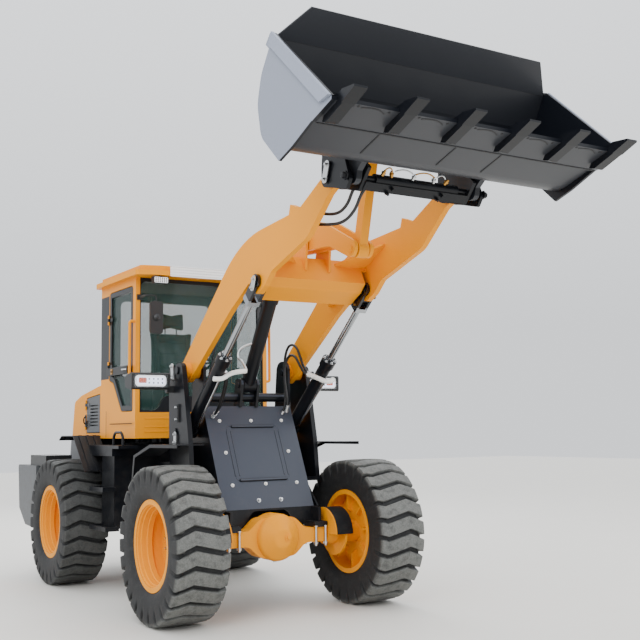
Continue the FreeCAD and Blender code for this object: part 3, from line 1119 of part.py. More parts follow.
def steering_wheel():
    centre = V(0, WHEEL_CENTRE[0], WHEEL_CENTRE[1])
    tilt = V(0, 0.35, 1).normalize()
    ring = Part.makeTorus(WHEEL_RING, WHEEL_GRIP, centre, tilt)
    hub = rod(centre - tilt * 46, centre + tilt * 8, 34)
    spokes = []
    for angle in (90, 210, 330):
        spoke = box(0, WHEEL_RING, -12, 12, -7, 5)
        spoke = turned(spoke, angle, ORIGIN, Z_AXIS)
        spoke = turned(spoke, -math.degrees(math.atan2(0.35, 1)), ORIGIN, X_AXIS)
        spokes.append(moved(spoke, centre.x, centre.y, centre.z))
    return fuse(ring, hub, *spokes)


def cab_controls():
    """Steering column and wheel, and the two levers on the right-hand console."""
    foot = CONSOLE_TOP + 2
    levers = [rod(V(-345, y, foot), V(-345, y - 40, foot + 190), 8) for y in (1640, 1710)]
    return Part.makeCompound([fuse(steering_column(), steering_wheel())] + levers)


def exhaust():
    return tube([V(EXHAUST_X, EXHAUST_Y, ENGINE_TOP + SEAT_GAP), V(EXHAUST_X, EXHAUST_Y, EXHAUST_TOP),
                 V(EXHAUST_X, EXHAUST_Y + 80, EXHAUST_TOP + 100)], EXHAUST_RADIUS, 60)


def lamp_boxes():
    return pair(box(720, COUNTERWEIGHT_X - 20, HOOD_REAR - 180, HOOD_REAR + 370, REAR_TOP, REAR_TOP + 105))


# All pieces by the name of their file

def placed_wheel(shape, side, y):
    wheel = shape if side > 0 else turned(shape, 180, ORIGIN, Z_AXIS)
    return moved(wheel, side * HALF_TRACK, y, TYRE_RADIUS)


def wheel_pieces():
    tyre_shape = tyre()
    rim_shape = rim()
    pieces = {}
    # name of the corner, side, y of the axle
    for corner, side, y in (("front_right", -1, 0), ("front_left", 1, 0), ("rear_right", -1, WHEEL_BASE),
                            ("rear_left", 1, WHEEL_BASE)):
        pieces["tyre_" + corner] = placed_wheel(tyre_shape, side, y)
        pieces["rim_" + corner] = placed_wheel(rim_shape, side, y)
    return pieces


def all_pieces():
    door = door_frame()
    pane = door_glass()
    side_door = hood_door()
    pieces = {
        "rear_frame": rear_frame(), "rear_axle": rear_axle(), "counterweight": counterweight(),
        "engine_block": engine_block(), "engine_hood": engine_hood(), "hood_grille": hood_grille(),
        "rear_fenders": rear_fenders(), "side_tanks": side_tanks(), "deck_trays": deck_trays(),
        "cab_floor": cab_floor(), "cab_side_walls": cab_side_walls(), "cab_front_wall": cab_front_wall(),
        "cab_rear_wall": cab_rear_wall(), "cab_roof": cab_roof(), "cab_glass": cab_glass(),
        "seat_base": seat_base(), "seat_pads": seat_pads(), "cab_controls": cab_controls(), "mirrors": mirrors(),
        "work_lights": work_lights(), "grab_rails": grab_rails(), "exhaust": exhaust(), "lamp_boxes": lamp_boxes(),
        "cab_door_left": door, "cab_door_right": mirrored(door),
        "door_glass_left": pane, "door_glass_right": mirrored(pane),
        "hood_door_left": side_door, "hood_door_right": mirrored(side_door),
        "front_frame": front_frame(), "front_axle": axle(), "front_fenders": front_fenders(),
        "headlights": headlights(), "boom": boom(), "bellcrank": bellcrank(), "tilt_link": tilt_link(),
        "lift_barrels": lift_barrels(), "lift_rods": lift_rods(), "tilt_barrel": tilt_barrel(),
        "tilt_rod": tilt_rod(),
        "steer_barrel_left": steer_barrel(1), "steer_rod_left": steer_rod(1),
        "steer_barrel_right": steer_barrel(-1), "steer_rod_right": steer_rod(-1),
        "coupler": coupler(), "bucket": bucket(), "bucket_teeth": teeth()}
    pieces.update(wheel_pieces())
    return pieces


os.makedirs("parts", exist_ok=True)
for name, shape in all_pieces().items():
    moved(shape, 0, SHIFT_Y, 0).exportStep("parts/" + name + ".step")
    print(name, len(shape.Solids), round(shape.Volume / 1e6, 2))
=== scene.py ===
# %% [markdown]
# A compact wheel loader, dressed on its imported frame. The CAD model gives every solid its place;
# this file gives each surface its finish and adds what is too small for the solids: bolts, hoses,
# lamp glass, seams, lettering-free plates and the padded seat.

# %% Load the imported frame
import math
import random

import bmesh
import bpy
from mathutils import Matrix, Vector


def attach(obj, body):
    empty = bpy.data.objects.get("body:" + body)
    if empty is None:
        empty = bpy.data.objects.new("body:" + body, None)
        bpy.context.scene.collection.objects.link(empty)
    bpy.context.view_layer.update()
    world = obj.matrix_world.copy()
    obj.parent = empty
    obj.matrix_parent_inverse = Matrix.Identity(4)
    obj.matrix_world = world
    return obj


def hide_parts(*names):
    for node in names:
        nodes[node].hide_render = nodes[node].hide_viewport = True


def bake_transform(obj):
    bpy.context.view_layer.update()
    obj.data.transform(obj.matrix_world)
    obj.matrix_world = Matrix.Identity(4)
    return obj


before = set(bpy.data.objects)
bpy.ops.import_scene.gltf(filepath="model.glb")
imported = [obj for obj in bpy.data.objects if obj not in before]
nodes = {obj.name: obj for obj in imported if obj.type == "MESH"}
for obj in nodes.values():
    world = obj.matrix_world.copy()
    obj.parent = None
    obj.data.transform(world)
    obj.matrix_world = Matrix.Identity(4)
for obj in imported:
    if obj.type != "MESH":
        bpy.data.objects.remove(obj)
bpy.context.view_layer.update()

# %% [markdown]
# The photographer stood low at the machine's front right corner. The camera repeats that spot: the
# turn, tilt and focal length were solved from the wheels, so the wheels fall on the same pixels.

# %% Camera at the photograph's place
SHIFT_Y = -0.4869
CAMERA_AT = Vector((-3.884, -7.083 + SHIFT_Y, 1.429))
YAW, PITCH, ROLL = math.radians(31.53), math.radians(6.24), math.radians(-0.79)
FOCAL_PIXELS = 998.87

looking = Vector((math.sin(YAW) * math.cos(PITCH), math.cos(YAW) * math.cos(PITCH), math.sin(PITCH)))
level = Vector((math.cos(YAW), -math.sin(YAW), 0))
upright = level.cross(looking)
right = level * math.cos(ROLL) + upright * math.sin(ROLL)
up = upright * math.cos(ROLL) - level * math.sin(ROLL)
camera_data = bpy.data.cameras.new("photo_camera")
camera_data.sensor_width = 36
camera_data.lens = FOCAL_PIXELS / 640 * camera_data.sensor_width
camera = bpy.data.objects.new("photo_camera", camera_data)
bpy.context.collection.objects.link(camera)
camera.matrix_world = Matrix.Translation(CAMERA_AT) @ Matrix((right, up, -looking)).transposed().to_4x4()
bpy.context.scene.camera = camera
print("lens", round(camera_data.lens, 2), "mm")

# %% [markdown]
# Every finish below is a small node tree. One function adds a node and links it; another turns the
# colour codes of a paint card into the linear values that Blender mixes with.

# %% Helpers for materials


def linear(code, alpha=1.0):
    """A paint-card colour, such as "e8740c", as linear red, green, blue and alpha."""
    channels = [int(code[i:i + 2], 16) / 255 for i in (0, 2, 4)]
    return [c / 12.92 if c <= 0.04045 else ((c + 0.055) / 1.055) ** 2.4 for c in channels] + [alpha]


def add(tree, kind, settings=(), **inputs):
    """Add one node; settings are (property, value) rows, inputs are socket values or links."""
    made = tree.nodes.new(kind)
    for prop, value in settings:
        setattr(made, prop, value)
    for name, value in inputs.items():
        numbered = name[0] == "i" and name[1:].isdigit()
        socket = made.inputs[int(name[1:]) if numbered else name.replace("_", " ")]
        if isinstance(value, bpy.types.NodeSocket):
            tree.links.new(value, socket)
        else:
            socket.default_value = value
    return made


def new_material(name):
    material = bpy.data.materials.new(name)
    material.use_nodes = True
    tree = material.node_tree
    tree.nodes.clear()
    out = tree.nodes.new("ShaderNodeOutputMaterial")
    shader = tree.nodes.new("ShaderNodeBsdfPrincipled")
    tree.links.new(shader.outputs[0], out.inputs["Surface"])
    return material, tree, shader


def ramp(tree, factor, low, high, smooth=False):
    """0 at low, 1 at high."""
    made = add(tree, "ShaderNodeMapRange", [("clamp", True)], Value=factor)
    if smooth:
        made.interpolation_type = "SMOOTHSTEP"
    made.inputs["From Min"].default_value = low
    made.inputs["From Max"].default_value = high
    return made.outputs[0]


def mix(tree, factor, first, second):
    made = tree.nodes.new("ShaderNodeMix")
    made.data_type = "RGBA"
    for index, value in ((0, factor), (6, first), (7, second)):
        if isinstance(value, bpy.types.NodeSocket):
            tree.links.new(value, made.inputs[index])
        else:
            made.inputs[index].default_value = value
    return made.outputs[2]


def maths(tree, operation, first, second=0.0):
    return add(tree, "ShaderNodeMath", [("operation", operation)], i0=first, i1=second).outputs[0]


def noise(tree, place, size, detail=3.0, rough=0.55):
    """Soft blotches about size metres across."""
    return add(tree, "ShaderNodeTexNoise", Vector=place, Scale=0.6 / size, Detail=detail, Roughness=rough).outputs[0]


# %% Painted sheet and plate
DUST = "a79d8c"


def painted(name, colour, roughness=0.32, coat=0.5, dust=0.35, peel=0.0025, fade=0.06, spots=0.0, shine=0.5):
    """Sprayed enamel: an even colour, a clear gloss with orange peel, and yard dust where it can lie."""
    material, tree, shader = new_material(name)
    place = add(tree, "ShaderNodeTexCoord").outputs["Object"]
    normal = add(tree, "ShaderNodeTexCoord").outputs["Normal"]
    facing_up = ramp(tree, add(tree, "ShaderNodeSeparateXYZ", Vector=normal).outputs[2], 0.25, 1.0)
    height = add(tree, "ShaderNodeSeparateXYZ", Vector=place).outputs[2]
    low_down = ramp(tree, height, 1.6, 0.2)
    blotch = noise(tree, place, 0.18, 5.0, 0.65)
    lying = maths(tree, "MULTIPLY", facing_up, ramp(tree, blotch, 0.35, 0.75))
    splash = maths(tree, "MULTIPLY", low_down, ramp(tree, noise(tree, place, 0.05, 6.0, 0.7), 0.45, 0.8))
    dirt = maths(tree, "MULTIPLY", maths(tree, "MAXIMUM", lying, splash), dust)
    faded = mix(tree, ramp(tree, noise(tree, place, 0.6, 2.0), 0.3, 0.7),
                linear(colour), [c * (1 - fade) for c in linear(colour)[:3]] + [1])
    if spots:
        chips = ramp(tree, noise(tree, place, 0.012, 2.0), 0.72, 0.74)
        faded = mix(tree, maths(tree, "MULTIPLY", chips, spots), faded, linear("6b5a4c"))
    tree.links.new(mix(tree, dirt, faded, linear(DUST)), shader.inputs["Base Color"])
    rough = add(tree, "ShaderNodeMapRange", Value=dirt)
    rough.inputs["From Max"].default_value = max(dust, 0.01)
    rough.inputs["To Min"].default_value = roughness
    rough.inputs["To Max"].default_value = 0.85
    tree.links.new(rough.outputs[0], shader.inputs["Roughness"])
    shader.inputs["Specular IOR Level"].default_value = shine
    shader.inputs["Coat Weight"].default_value = coat
    shader.inputs["Coat Roughness"].default_value = 0.12
    bump = add(tree, "ShaderNodeBump", Height=noise(tree, place, peel, 1.0), Strength=0.035, Distance=0.001)
    tree.links.new(bump.outputs[0], shader.inputs["Normal"])
    return material


orange_enamel = painted("orange_enamel", "ec9600", roughness=0.42, coat=0.03, dust=0.06, shine=0.16)
black_enamel = painted("black_enamel", "101217", roughness=0.3, coat=0.06, dust=0.07, shine=0.2)
grey_enamel = painted("grey_enamel", "4e5155", roughness=0.45, coat=0.08, dust=0.25, shine=0.3)
white_enamel = painted("white_enamel", "e9e9e6", roughness=0.3, dust=0.3)
dark_frame = painted("window_frame_enamel", "15171a", roughness=0.35, coat=0.08, dust=0.06, shine=0.25)
print("paints made")

# %% [markdown]
# Some sheet-metal parts wear two paints with a masked edge between them: the cab is orange up to the
# sills and dark round its glass, and the bucket is pale on its cheeks, grey outside and nearly black
# inside. A mask built from the place on the object picks the paint, so the edge stays put.

# %% Two paints on one sheet


def masked(name, colours, mask_of, roughness=0.34, coat=0.35, dust=0.2, shine=0.5):
    """Enamel whose colour is picked by mask_of(tree, x, y, z, normal), one mask for each added colour."""
    material = painted(name, colours[0], roughness, coat, dust, shine=shine)
    tree = material.node_tree
    shader = next(n for n in tree.nodes if n.bl_idname == "ShaderNodeBsdfPrincipled")
    coat_mix = shader.inputs["Base Color"].links[0].from_node
    paint = coat_mix.inputs[6].links[0].from_socket
    place = add(tree, "ShaderNodeTexCoord")
    xyz = add(tree, "ShaderNodeSeparateXYZ", Vector=place.outputs["Object"])
    masks = mask_of(tree, xyz.outputs[0], xyz.outputs[1], xyz.outputs[2], place.outputs["Normal"])
    for colour, mask in zip(colours[1:], masks):
        paint = mix(tree, mask, paint, linear(colour))
    tree.links.new(paint, coat_mix.inputs[6])
    return material


def above(tree, value, edge, soft=0.002):
    return ramp(tree, value, edge - soft, edge + soft)


def cab_masks(tree, x, y, z, normal):
    """Dark round the rear pillar and round the windscreen, orange elsewhere."""
    rear = maths(tree, "MULTIPLY", above(tree, y, 1.507), above(tree, z, 1.925))
    under_header = maths(tree, "SUBTRACT", 1.0, above(tree, z, 2.715))
    facing = add(tree, "ShaderNodeSeparateXYZ", Vector=normal)
    inward = maths(tree, "MULTIPLY", maths(tree, "MULTIPLY", facing.outputs[0], x), -1.0)
    lining = maths(tree, "MAXIMUM", above(tree, inward, 0.3, 0.05),
                   maths(tree, "MULTIPLY", above(tree, maths(tree, "MULTIPLY", facing.outputs[1], -1.0), 0.5, 0.05),
                         above(tree, y, 1.66)))
    return [maths(tree, "MULTIPLY", rear, under_header), lining]


def front_masks(tree, x, y, z, normal):
    """The windscreen's surround is dark down to the sill."""
    glass_edge = maths(tree, "MULTIPLY", above(tree, z, 1.60), above(tree, maths(tree, "SUBTRACT", 0.0, y), -0.862))
    lining = above(tree, add(tree, "ShaderNodeSeparateXYZ", Vector=normal).outputs[1], 0.5, 0.05)
    return [glass_edge, lining]


def axle_masks(tree, x, y, z, normal):
    """The half-round brake shields inside the front wheels are black."""
    away = add(tree, "ShaderNodeCombineXYZ", Y=maths(tree, "SUBTRACT", y, SHIFT_Y),
               Z=maths(tree, "SUBTRACT", z, 0.5875)).outputs[0]
    radius = add(tree, "ShaderNodeVectorMath", [("operation", "LENGTH")], i0=away).outputs["Value"]
    return [maths(tree, "MULTIPLY", above(tree, radius, 0.196), above(tree, maths(tree, "ABSOLUTE", x), 0.470))]


def bucket_masks(tree, x, y, z, normal):
    """Pale cheeks outside, grey shell outside, near-black bowl."""
    mouth = add(tree, "ShaderNodeVectorMath", [("operation", "DOT_PRODUCT")], i0=normal, i1=(0.0, -0.45, 0.89))
    inside = ramp(tree, mouth.outputs["Value"], -0.06, 0.02)
    across = maths(tree, "ABSOLUTE", x)
    cheek = above(tree, across, 1.1085)
    inner_cheek = maths(tree, "MULTIPLY", above(tree, across, 1.08), maths(tree, "SUBTRACT", 1.0, cheek))
    return [maths(tree, "MAXIMUM", inside, inner_cheek), cheek]


def cover_sky_sheen_masks(tree, x, y, z, normal):
    """Painted reflection: faces looking out of the sloped cover get a lighter slate that stands in for the sky's sheen
    on the black enamel.
    """
    outward = add(tree, "ShaderNodeVectorMath", [("operation", "DOT_PRODUCT")], i0=normal, i1=(0.0, -0.909, 0.417))
    return [maths(tree, "MULTIPLY", above(tree, outward.outputs["Value"], 0.97, 0.02),
                  maths(tree, "SUBTRACT", 1.0, above(tree, maths(tree, "ABSOLUTE", x), 0.42)))]


cab_enamel = masked("cab_enamel", ["ec9600", "222428", "4a4d4e"], cab_masks, roughness=0.4, coat=0.04, dust=0.08, shine=0.22)
axle_enamel = masked("axle_enamel", ["ec9600", "14161a"], axle_masks, roughness=0.42, coat=0.03, dust=0.06,
                     shine=0.16)
cab_front_enamel = masked("cab_front_enamel", ["ec9600", "1a1c20", "4a4d4e"], front_masks, roughness=0.4, coat=0.04, dust=0.08, shine=0.22)
bucket_enamel = masked("bucket_enamel", ["33353a", "0e1118", "8c93a3"], bucket_masks, roughness=0.42, coat=0.05, dust=0.1, shine=0.25)
# Black frame enamel; the lighter slate on the cover's outward faces is a painted sky reflection.
frame_enamel = masked("frame_enamel", ["101217", "3d424d"], cover_sky_sheen_masks, roughness=0.3, coat=0.06, dust=0.07, shine=0.2)
print("two-tone paints made")

# %% [markdown]
# Rubber, steel, chrome, cast iron, glass and moulded plastic. Each is named for the real one.

# %% Rubber, steel, glass and plastic


def tyre_rubber_material():
    """Carbon-black rubber: grey yard dust on the lug faces, less on the rear tyres as painted shade, and fine rings on
    the walls.
    """
    material, tree, shader = new_material("tyre_rubber")
    place = add(tree, "ShaderNodeTexCoord").outputs["Object"]
    face = add(tree, "ShaderNodeAttribute", [("attribute_name", "lug_face")]).outputs["Fac"]
    radius = add(tree, "ShaderNodeAttribute", [("attribute_name", "from_axle")]).outputs["Fac"]
    blotch = noise(tree, place, 0.03, 6.0, 0.7)
    scuffs = noise(tree, place, 0.006, 4.0, 0.7)
    along = add(tree, "ShaderNodeSeparateXYZ", Vector=place).outputs[1]
    # Painted shade: the rear tyres get less lug dust, so their lugs read darker, as if in shade.
    rear_painted_shade = maths(tree, "SUBTRACT", 1.0, maths(tree, "MULTIPLY", ramp(tree, along, 0.9, 1.1), 0.6))
    dusty = maths(tree, "MULTIPLY", maths(tree, "MULTIPLY", face, rear_painted_shade), ramp(tree, blotch, 0.12, 0.55))
    rubber = mix(tree, ramp(tree, scuffs, 0.4, 0.7), linear("0e0f11"), linear("1a1b1d"))
    dust = mix(tree, ramp(tree, scuffs, 0.35, 0.7), linear("565754"), linear("6b6c69"))
    wall_dust = maths(tree, "MULTIPLY", ramp(tree, blotch, 0.5, 0.9), 0.25)
    tree.links.new(mix(tree, maths(tree, "MAXIMUM", dusty, wall_dust), rubber, dust), shader.inputs["Base Color"])
    shader.inputs["Roughness"].default_value = 0.72
    rings = maths(tree, "SINE", maths(tree, "MULTIPLY", radius, 900.0))
    wall = maths(tree, "SUBTRACT", 1.0, ramp(tree, radius, 0.455, 0.47))
    relief = maths(tree, "ADD", maths(tree, "MULTIPLY", maths(tree, "MULTIPLY", rings, wall), 0.35), scuffs)
    bump = add(tree, "ShaderNodeBump", Height=relief, Strength=0.35, Distance=0.0012)
    tree.links.new(bump.outputs[0], shader.inputs["Normal"])
    return material


def metal(name, colour, roughness, metallic=1.0, grain=0.004, stretch=(1, 1, 1), stain=0.0):
    """Bare metal: blotches in its gloss about grain metres across, and a little oxide where stain is set."""
    material, tree, shader = new_material(name)
    place = add(tree, "ShaderNodeTexCoord").outputs["Object"]
    drawn = add(tree, "ShaderNodeMapping", Vector=place, Scale=stretch).outputs[0]
    blotch = noise(tree, drawn, grain, 4.0, 0.6)
    dull = mix(tree, maths(tree, "MULTIPLY", ramp(tree, noise(tree, place, 0.04, 5.0, 0.7), 0.45, 0.75), stain),
               linear(colour), linear("4a3426"))
    tree.links.new(dull, shader.inputs["Base Color"])
    shader.inputs["Metallic"].default_value = metallic
    gloss = add(tree, "ShaderNodeMapRange", Value=blotch)
    gloss.inputs["To Min"].default_value = roughness * 0.7
    gloss.inputs["To Max"].default_value = min(1.0, roughness * 1.4)
    tree.links.new(gloss.outputs[0], shader.inputs["Roughness"])
    bump = add(tree, "ShaderNodeBump", Height=blotch, Strength=0.06, Distance=0.0006)
    tree.links.new(bump.outputs[0], shader.inputs["Normal"])
    return material


def moulded(name, colour, roughness, grain=0.0012, strength=0.12):
    """Moulded plastic or rubber with a fine leather grain."""
    material, tree, shader = new_material(name)
    place = add(tree, "ShaderNodeTexCoord").outputs["Object"]
    cells = add(tree, "ShaderNodeTexVoronoi", Vector=place, Scale=0.8 / grain).outputs[0]
    tone = mix(tree, noise(tree, place, 0.08, 3.0), linear(colour), [c * 1.35 for c in linear(colour)[:3]] + [1])
    tree.links.new(tone, shader.inputs["Base Color"])
    shader.inputs["Roughness"].default_value = roughness
    bump = add(tree, "ShaderNodeBump", Height=cells, Strength=strength, Distance=0.0004)
    tree.links.new(bump.outputs[0], shader.inputs["Normal"])
    return material


def glazing(name, colour, see_through):
    """Float glass tinted in the mass: what is behind shows through, the sky lies on it."""
    material, tree, shader = new_material(name)
    place = add(tree, "ShaderNodeTexCoord").outputs["Object"]
    film = ramp(tree, noise(tree, place, 0.25, 5.0, 0.7), 0.35, 0.85)
    tree.links.new(mix(tree, maths(tree, "MULTIPLY", film, 0.25), linear(colour), linear("8d9a98")),
                   shader.inputs["Base Color"])
    shader.inputs["Alpha"].default_value = 1 - see_through
    shader.inputs["Roughness"].default_value = 0.04
    shader.inputs["IOR"].default_value = 1.52
    return material


def chrome_with_eye(name, foot, run, black_from):
    """Hard chrome up to black_from metres along the rod from its cylinder's foot, black enamel beyond."""
    material = metal(name, "a4a8ad", 0.11)
    tree = material.node_tree
    shader = next(n for n in tree.nodes if n.bl_idname == "ShaderNodeBsdfPrincipled")
    place = add(tree, "ShaderNodeTexCoord").outputs["Object"]
    along = add(tree, "ShaderNodeVectorMath", [("operation", "DOT_PRODUCT")], i0=place, i1=(0, *run)).outputs["Value"]
    black = above(tree, along, (foot[0] + SHIFT_Y) * run[0] + foot[1] * run[1] + black_from)
    bare = shader.inputs["Base Color"].links[0].from_socket
    tree.links.new(mix(tree, black, bare, linear("101217")), shader.inputs["Base Color"])
    tree.links.new(maths(tree, "SUBTRACT", 1.0, black), shader.inputs["Metallic"])
    return material


tyre_rubber = tyre_rubber_material()
chrome = metal("hard_chrome", "a4a8ad", 0.11)
lift_rod_chrome = chrome_with_eye("lift_rod_chrome", (0.550, 1.430), (-0.7610, 0.6488), 1.495)
tilt_rod_chrome = chrome_with_eye("tilt_rod_chrome", (0.435, 1.805), (-0.5280, 0.8490), 1.150)
worn_steel = metal("worn_steel", "57585a", 0.38, stain=0.35)
zinc = metal("zinc_plate", "c9cbcc", 0.28)
brass = metal("brass_fitting", "b98a45", 0.3)
cast_iron = metal("cast_iron", "3c3d3f", 0.6, metallic=0.4, grain=0.003, stain=0.15)
black_plastic = moulded("black_plastic", "17181a", 0.45)
hose_rubber = moulded("hose_rubber", "101113", 0.4, grain=0.002)
tinted_glass = glazing("tinted_glass", "2a4a46", 0.72)
screen_glass = glazing("windscreen_glass", "33564f", 0.76)
print("rubber, metals, plastics and glass made")

# %% [markdown]
# Every carried-over CAD node takes one of these finishes. The table reads: finish, then its nodes.

# %% Finish of each CAD node
finishes = [
    (orange_enamel, ["engine_hood", "boom", "bellcrank", "tilt_link", "rear_axle", "grab_rails",
                     "cab_roof", "rim_front_left", "rim_front_right", "rim_rear_left", "rim_rear_right"]),
    (axle_enamel, ["front_axle"]),
    (cab_enamel, ["cab_side_walls", "cab_rear_wall"]),
    (cab_front_enamel, ["cab_front_wall"]),
    (bucket_enamel, ["bucket"]),
    (frame_enamel, ["front_frame"]),
    (black_enamel, ["rear_frame", "front_fenders", "rear_fenders", "side_tanks", "deck_trays",
                    "cab_floor", "lift_barrels", "tilt_barrel", "steer_barrel_left", "steer_barrel_right",
                    "coupler", "exhaust", "bucket_teeth"]),
    (dark_frame, ["cab_door_left", "cab_door_right", "hood_grille"]),
    (grey_enamel, ["counterweight", "hood_door_left", "hood_door_right"]),
    (chrome, ["steer_rod_left", "steer_rod_right"]),
    (lift_rod_chrome, ["lift_rods"]),
    (tilt_rod_chrome, ["tilt_rod"]),
    (tinted_glass, ["door_glass_left", "door_glass_right"]),
    (screen_glass, ["cab_glass"]),
    (cast_iron, ["engine_block"]),
    (black_plastic, ["seat_base", "cab_controls", "mirrors", "work_lights", "lamp_boxes", "headlights",
                     "seat_pads"]),
    (tyre_rubber, ["tyre_front_left", "tyre_front_right", "tyre_rear_left", "tyre_rear_right"]),
]
for finish, names in finishes:
    for node in names:
        mesh = nodes[node].data
        if not mesh.materials:
            mesh.materials.append(finish)
        for index in range(len(mesh.materials)):
            mesh.materials[index] = finish
dressed = [node for _, names in finishes for node in names]
print("nodes without a finish:", sorted(set(nodes) - set(dressed)))

# %% [markdown]
# A studio in place of the yard: one pale floor, a pale surround and three large soft lamps.

# %% Floor and lights


def flat_material(name, colour, roughness):
    material, tree, shader = new_material(name)
    place = add(tree, "ShaderNodeTexCoord").outputs["Object"]
    tone = mix(tree, noise(tree, place, 0.4, 4.0), linear(colour), [c * 0.96 for c in linear(colour)[:3]] + [1])
    tree.links.new(tone, shader.inputs["Base Color"])
    shader.inputs["Roughness"].default_value = roughness
    return material


def mesh_piece(name, vertices, faces, material, body=None, smooth=False):
    """A finished mesh at the origin, riding on its body."""
    mesh = bpy.data.meshes.new(name)
    mesh.from_pydata([tuple(v) for v in vertices], [], faces)
    mesh.update()
    mesh.materials.append(material)
    for polygon in mesh.polygons:
        polygon.use_smooth = smooth
    piece = bpy.data.objects.new(name, mesh)
    bpy.context.collection.objects.link(piece)
    if body:
        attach(piece, body)
    return piece


FLOOR_HALF = 30.0
floor = mesh_piece("studio_floor", [(-FLOOR_HALF, -FLOOR_HALF, 0), (FLOOR_HALF, -FLOOR_HALF, 0),
                                    (FLOOR_HALF, FLOOR_HALF, 0), (-FLOOR_HALF, FLOOR_HALF, 0)],
                   [(0, 1, 2, 3)], flat_material("pale_floor", "dcd9d2", 0.6))
world = bpy.data.worlds.new("soft_surround")
world.use_nodes = True
backdrop = world.node_tree.nodes["Background"]
backdrop.inputs["Color"].default_value = linear("f3f6fa")
towards = add(world.node_tree, "ShaderNodeTexCoord").outputs["Generated"]
height = add(world.node_tree, "ShaderNodeSeparateXYZ", Vector=towards).outputs[2]
overcast = add(world.node_tree, "ShaderNodeMapRange", Value=height)
overcast.inputs["From Min"].default_value = 0.1
overcast.inputs["To Min"].default_value = 1.25
overcast.inputs["To Max"].default_value = 2.6
world.node_tree.links.new(overcast.outputs[0], backdrop.inputs["Strength"])
bpy.context.scene.world = world
# name, place, aimed at, size in metres, watts
lamps = [("key_softbox", (-7.0, -7.5, 7.5), (0, -0.5, 1.6), 5.0, 550),
         ("fill_softbox", (7.5, -5.0, 4.5), (0, -0.5, 1.6), 6.0, 250),
         ("rear_softbox", (2.0, 9.0, 7.0), (0, 1.0, 1.5), 6.0, 400)]
for name, place, aim, size, watts in lamps:
    data = bpy.data.lights.new(name, "AREA")
    data.size = size
    data.energy = watts
    lamp = bpy.data.objects.new(name, data)
    bpy.context.collection.objects.link(lamp)
    lamp.location = place
    lamp.rotation_euler = (Vector(aim) - Vector(place)).to_track_quat("-Z", "Y").to_euler()
print("floor and", len(lamps), "lamps")

# %% [markdown]
# The tools for shapes. A slab is a cut plate with rounded edges, laid in any plane: most brackets,
# lenses and keepers are that. A pipe follows a curve. Bolts are many and alike, so a Geometry Nodes
# tree puts one on each point of a point cloud, turned to that point's facing and scaled to its size.

# %% Places given from the front axle, and slabs


def at(x, y, z):
    """A place measured from the front axle on the ground, in metres."""
    return Vector((x, y + SHIFT_Y, z))


ARM_PIN, ARM_LEAN = (0.520, 1.925), math.radians(26.47)


def on_arm(x, along, rise):
    """A place measured along the boom from its pin, and square to it."""
    return at(x, ARM_PIN[0] - along * math.cos(ARM_LEAN) + rise * math.sin(ARM_LEAN),
              ARM_PIN[1] + along * math.sin(ARM_LEAN) + rise * math.cos(ARM_LEAN))


def finish_mesh(name, bm, material, body, smooth=None):
    """Turn a bmesh into a piece that rides on a body; smooth is the angle in degrees that shades round."""
    bmesh.ops.recalc_face_normals(bm, faces=bm.faces)
    mesh = bpy.data.meshes.new(name)
    bm.to_mesh(mesh)
    bm.free()
    mesh.materials.append(material)
    if smooth:
        mesh.shade_smooth()
        mesh.set_sharp_from_angle(angle=math.radians(smooth))
    piece = bpy.data.objects.new(name, mesh)
    bpy.context.collection.objects.link(piece)
    if smooth:
        flatten = piece.modifiers.new("even_flats", "WEIGHTED_NORMAL")
        flatten.keep_sharp = True
        flatten.weight = 80
    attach(piece, body)
    return piece


def rounded(width, height, radius, steps=5, centre=(0, 0)):
    """Corners of a rounded rectangle, anticlockwise."""
    points = []
    for cx, cy, start in ((1, 1, 0), (-1, 1, 90), (-1, -1, 180), (1, -1, 270)):
        for step in range(steps + 1):
            angle = math.radians(start + 90 * step / steps)
            points.append((centre[0] + cx * (width / 2 - radius) + radius * math.cos(angle),
                           centre[1] + cy * (height / 2 - radius) + radius * math.sin(angle)))
    return points


def circle(radius, count=24, centre=(0, 0)):
    turns = [2 * math.pi * i / count for i in range(count)]
    return [(centre[0] + radius * math.cos(a), centre[1] + radius * math.sin(a)) for a in turns]


def add_slab(bm, outline, origin, across, along, thick, soft=0.0015, holes=()):
    """Add a plate: outline in metres in the plane (across, along) at origin, grown by thick along the normal."""
    across, along = Vector(across).normalized(), Vector(along).normalized()
    normal = across.cross(along)
    start = len(bm.verts)
    ring = [bm.verts.new(origin + across * u + along * v) for u, v in outline]
    face = bm.faces.new(ring)
    for hole in holes:
        edge_ring = [bm.verts.new(origin + across * u + along * v) for u, v in hole]
        inner = bm.faces.new(edge_ring)
        bridged = bmesh.ops.bridge_loops(bm, edges=list(face.edges) + list(inner.edges))
        bmesh.ops.delete(bm, geom=[face, inner], context="FACES_ONLY")
        face = None
        flat = bridged["faces"]
    if face:
        flat = [face]
    grown = bmesh.ops.extrude_face_region(bm, geom=flat)
    moved_up = [g for g in grown["geom"] if isinstance(g, bmesh.types.BMVert)]
    bmesh.ops.translate(bm, verts=moved_up, vec=normal * thick)
    top = [g for g in grown["geom"] if isinstance(g, bmesh.types.BMFace)]
    if soft:
        rim = {e for f in top for e in f.edges if len([g for g in e.link_faces if g in set(top)]) == 1}
        bmesh.ops.bevel(bm, geom=list(rim), offset=soft, segments=2, affect="EDGES", profile=0.5)


def slab(name, outline, origin, across, along, thick, material, body, slot, soft=0.0015, holes=()):
    bm = bmesh.new()
    add_slab(bm, outline, origin, across, along, thick, soft, holes)
    return finish_mesh(name, bm, material, body, smooth=35)


def pipe(name, points, radius, material, body, order=3, resolution=10, sides=4):
    """A tube on a smooth curve through the pull of its points, made a mesh."""
    piece = spline(name, points, radius, order, resolution, sides)
    mesh = bpy.data.meshes.new_from_object(piece.evaluated_get(bpy.context.evaluated_depsgraph_get()))
    bpy.data.objects.remove(piece)
    mesh.materials.clear()
    mesh.materials.append(material)
    made = bpy.data.objects.new(name, mesh)
    bpy.context.collection.objects.link(made)
    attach(made, body)
    return made


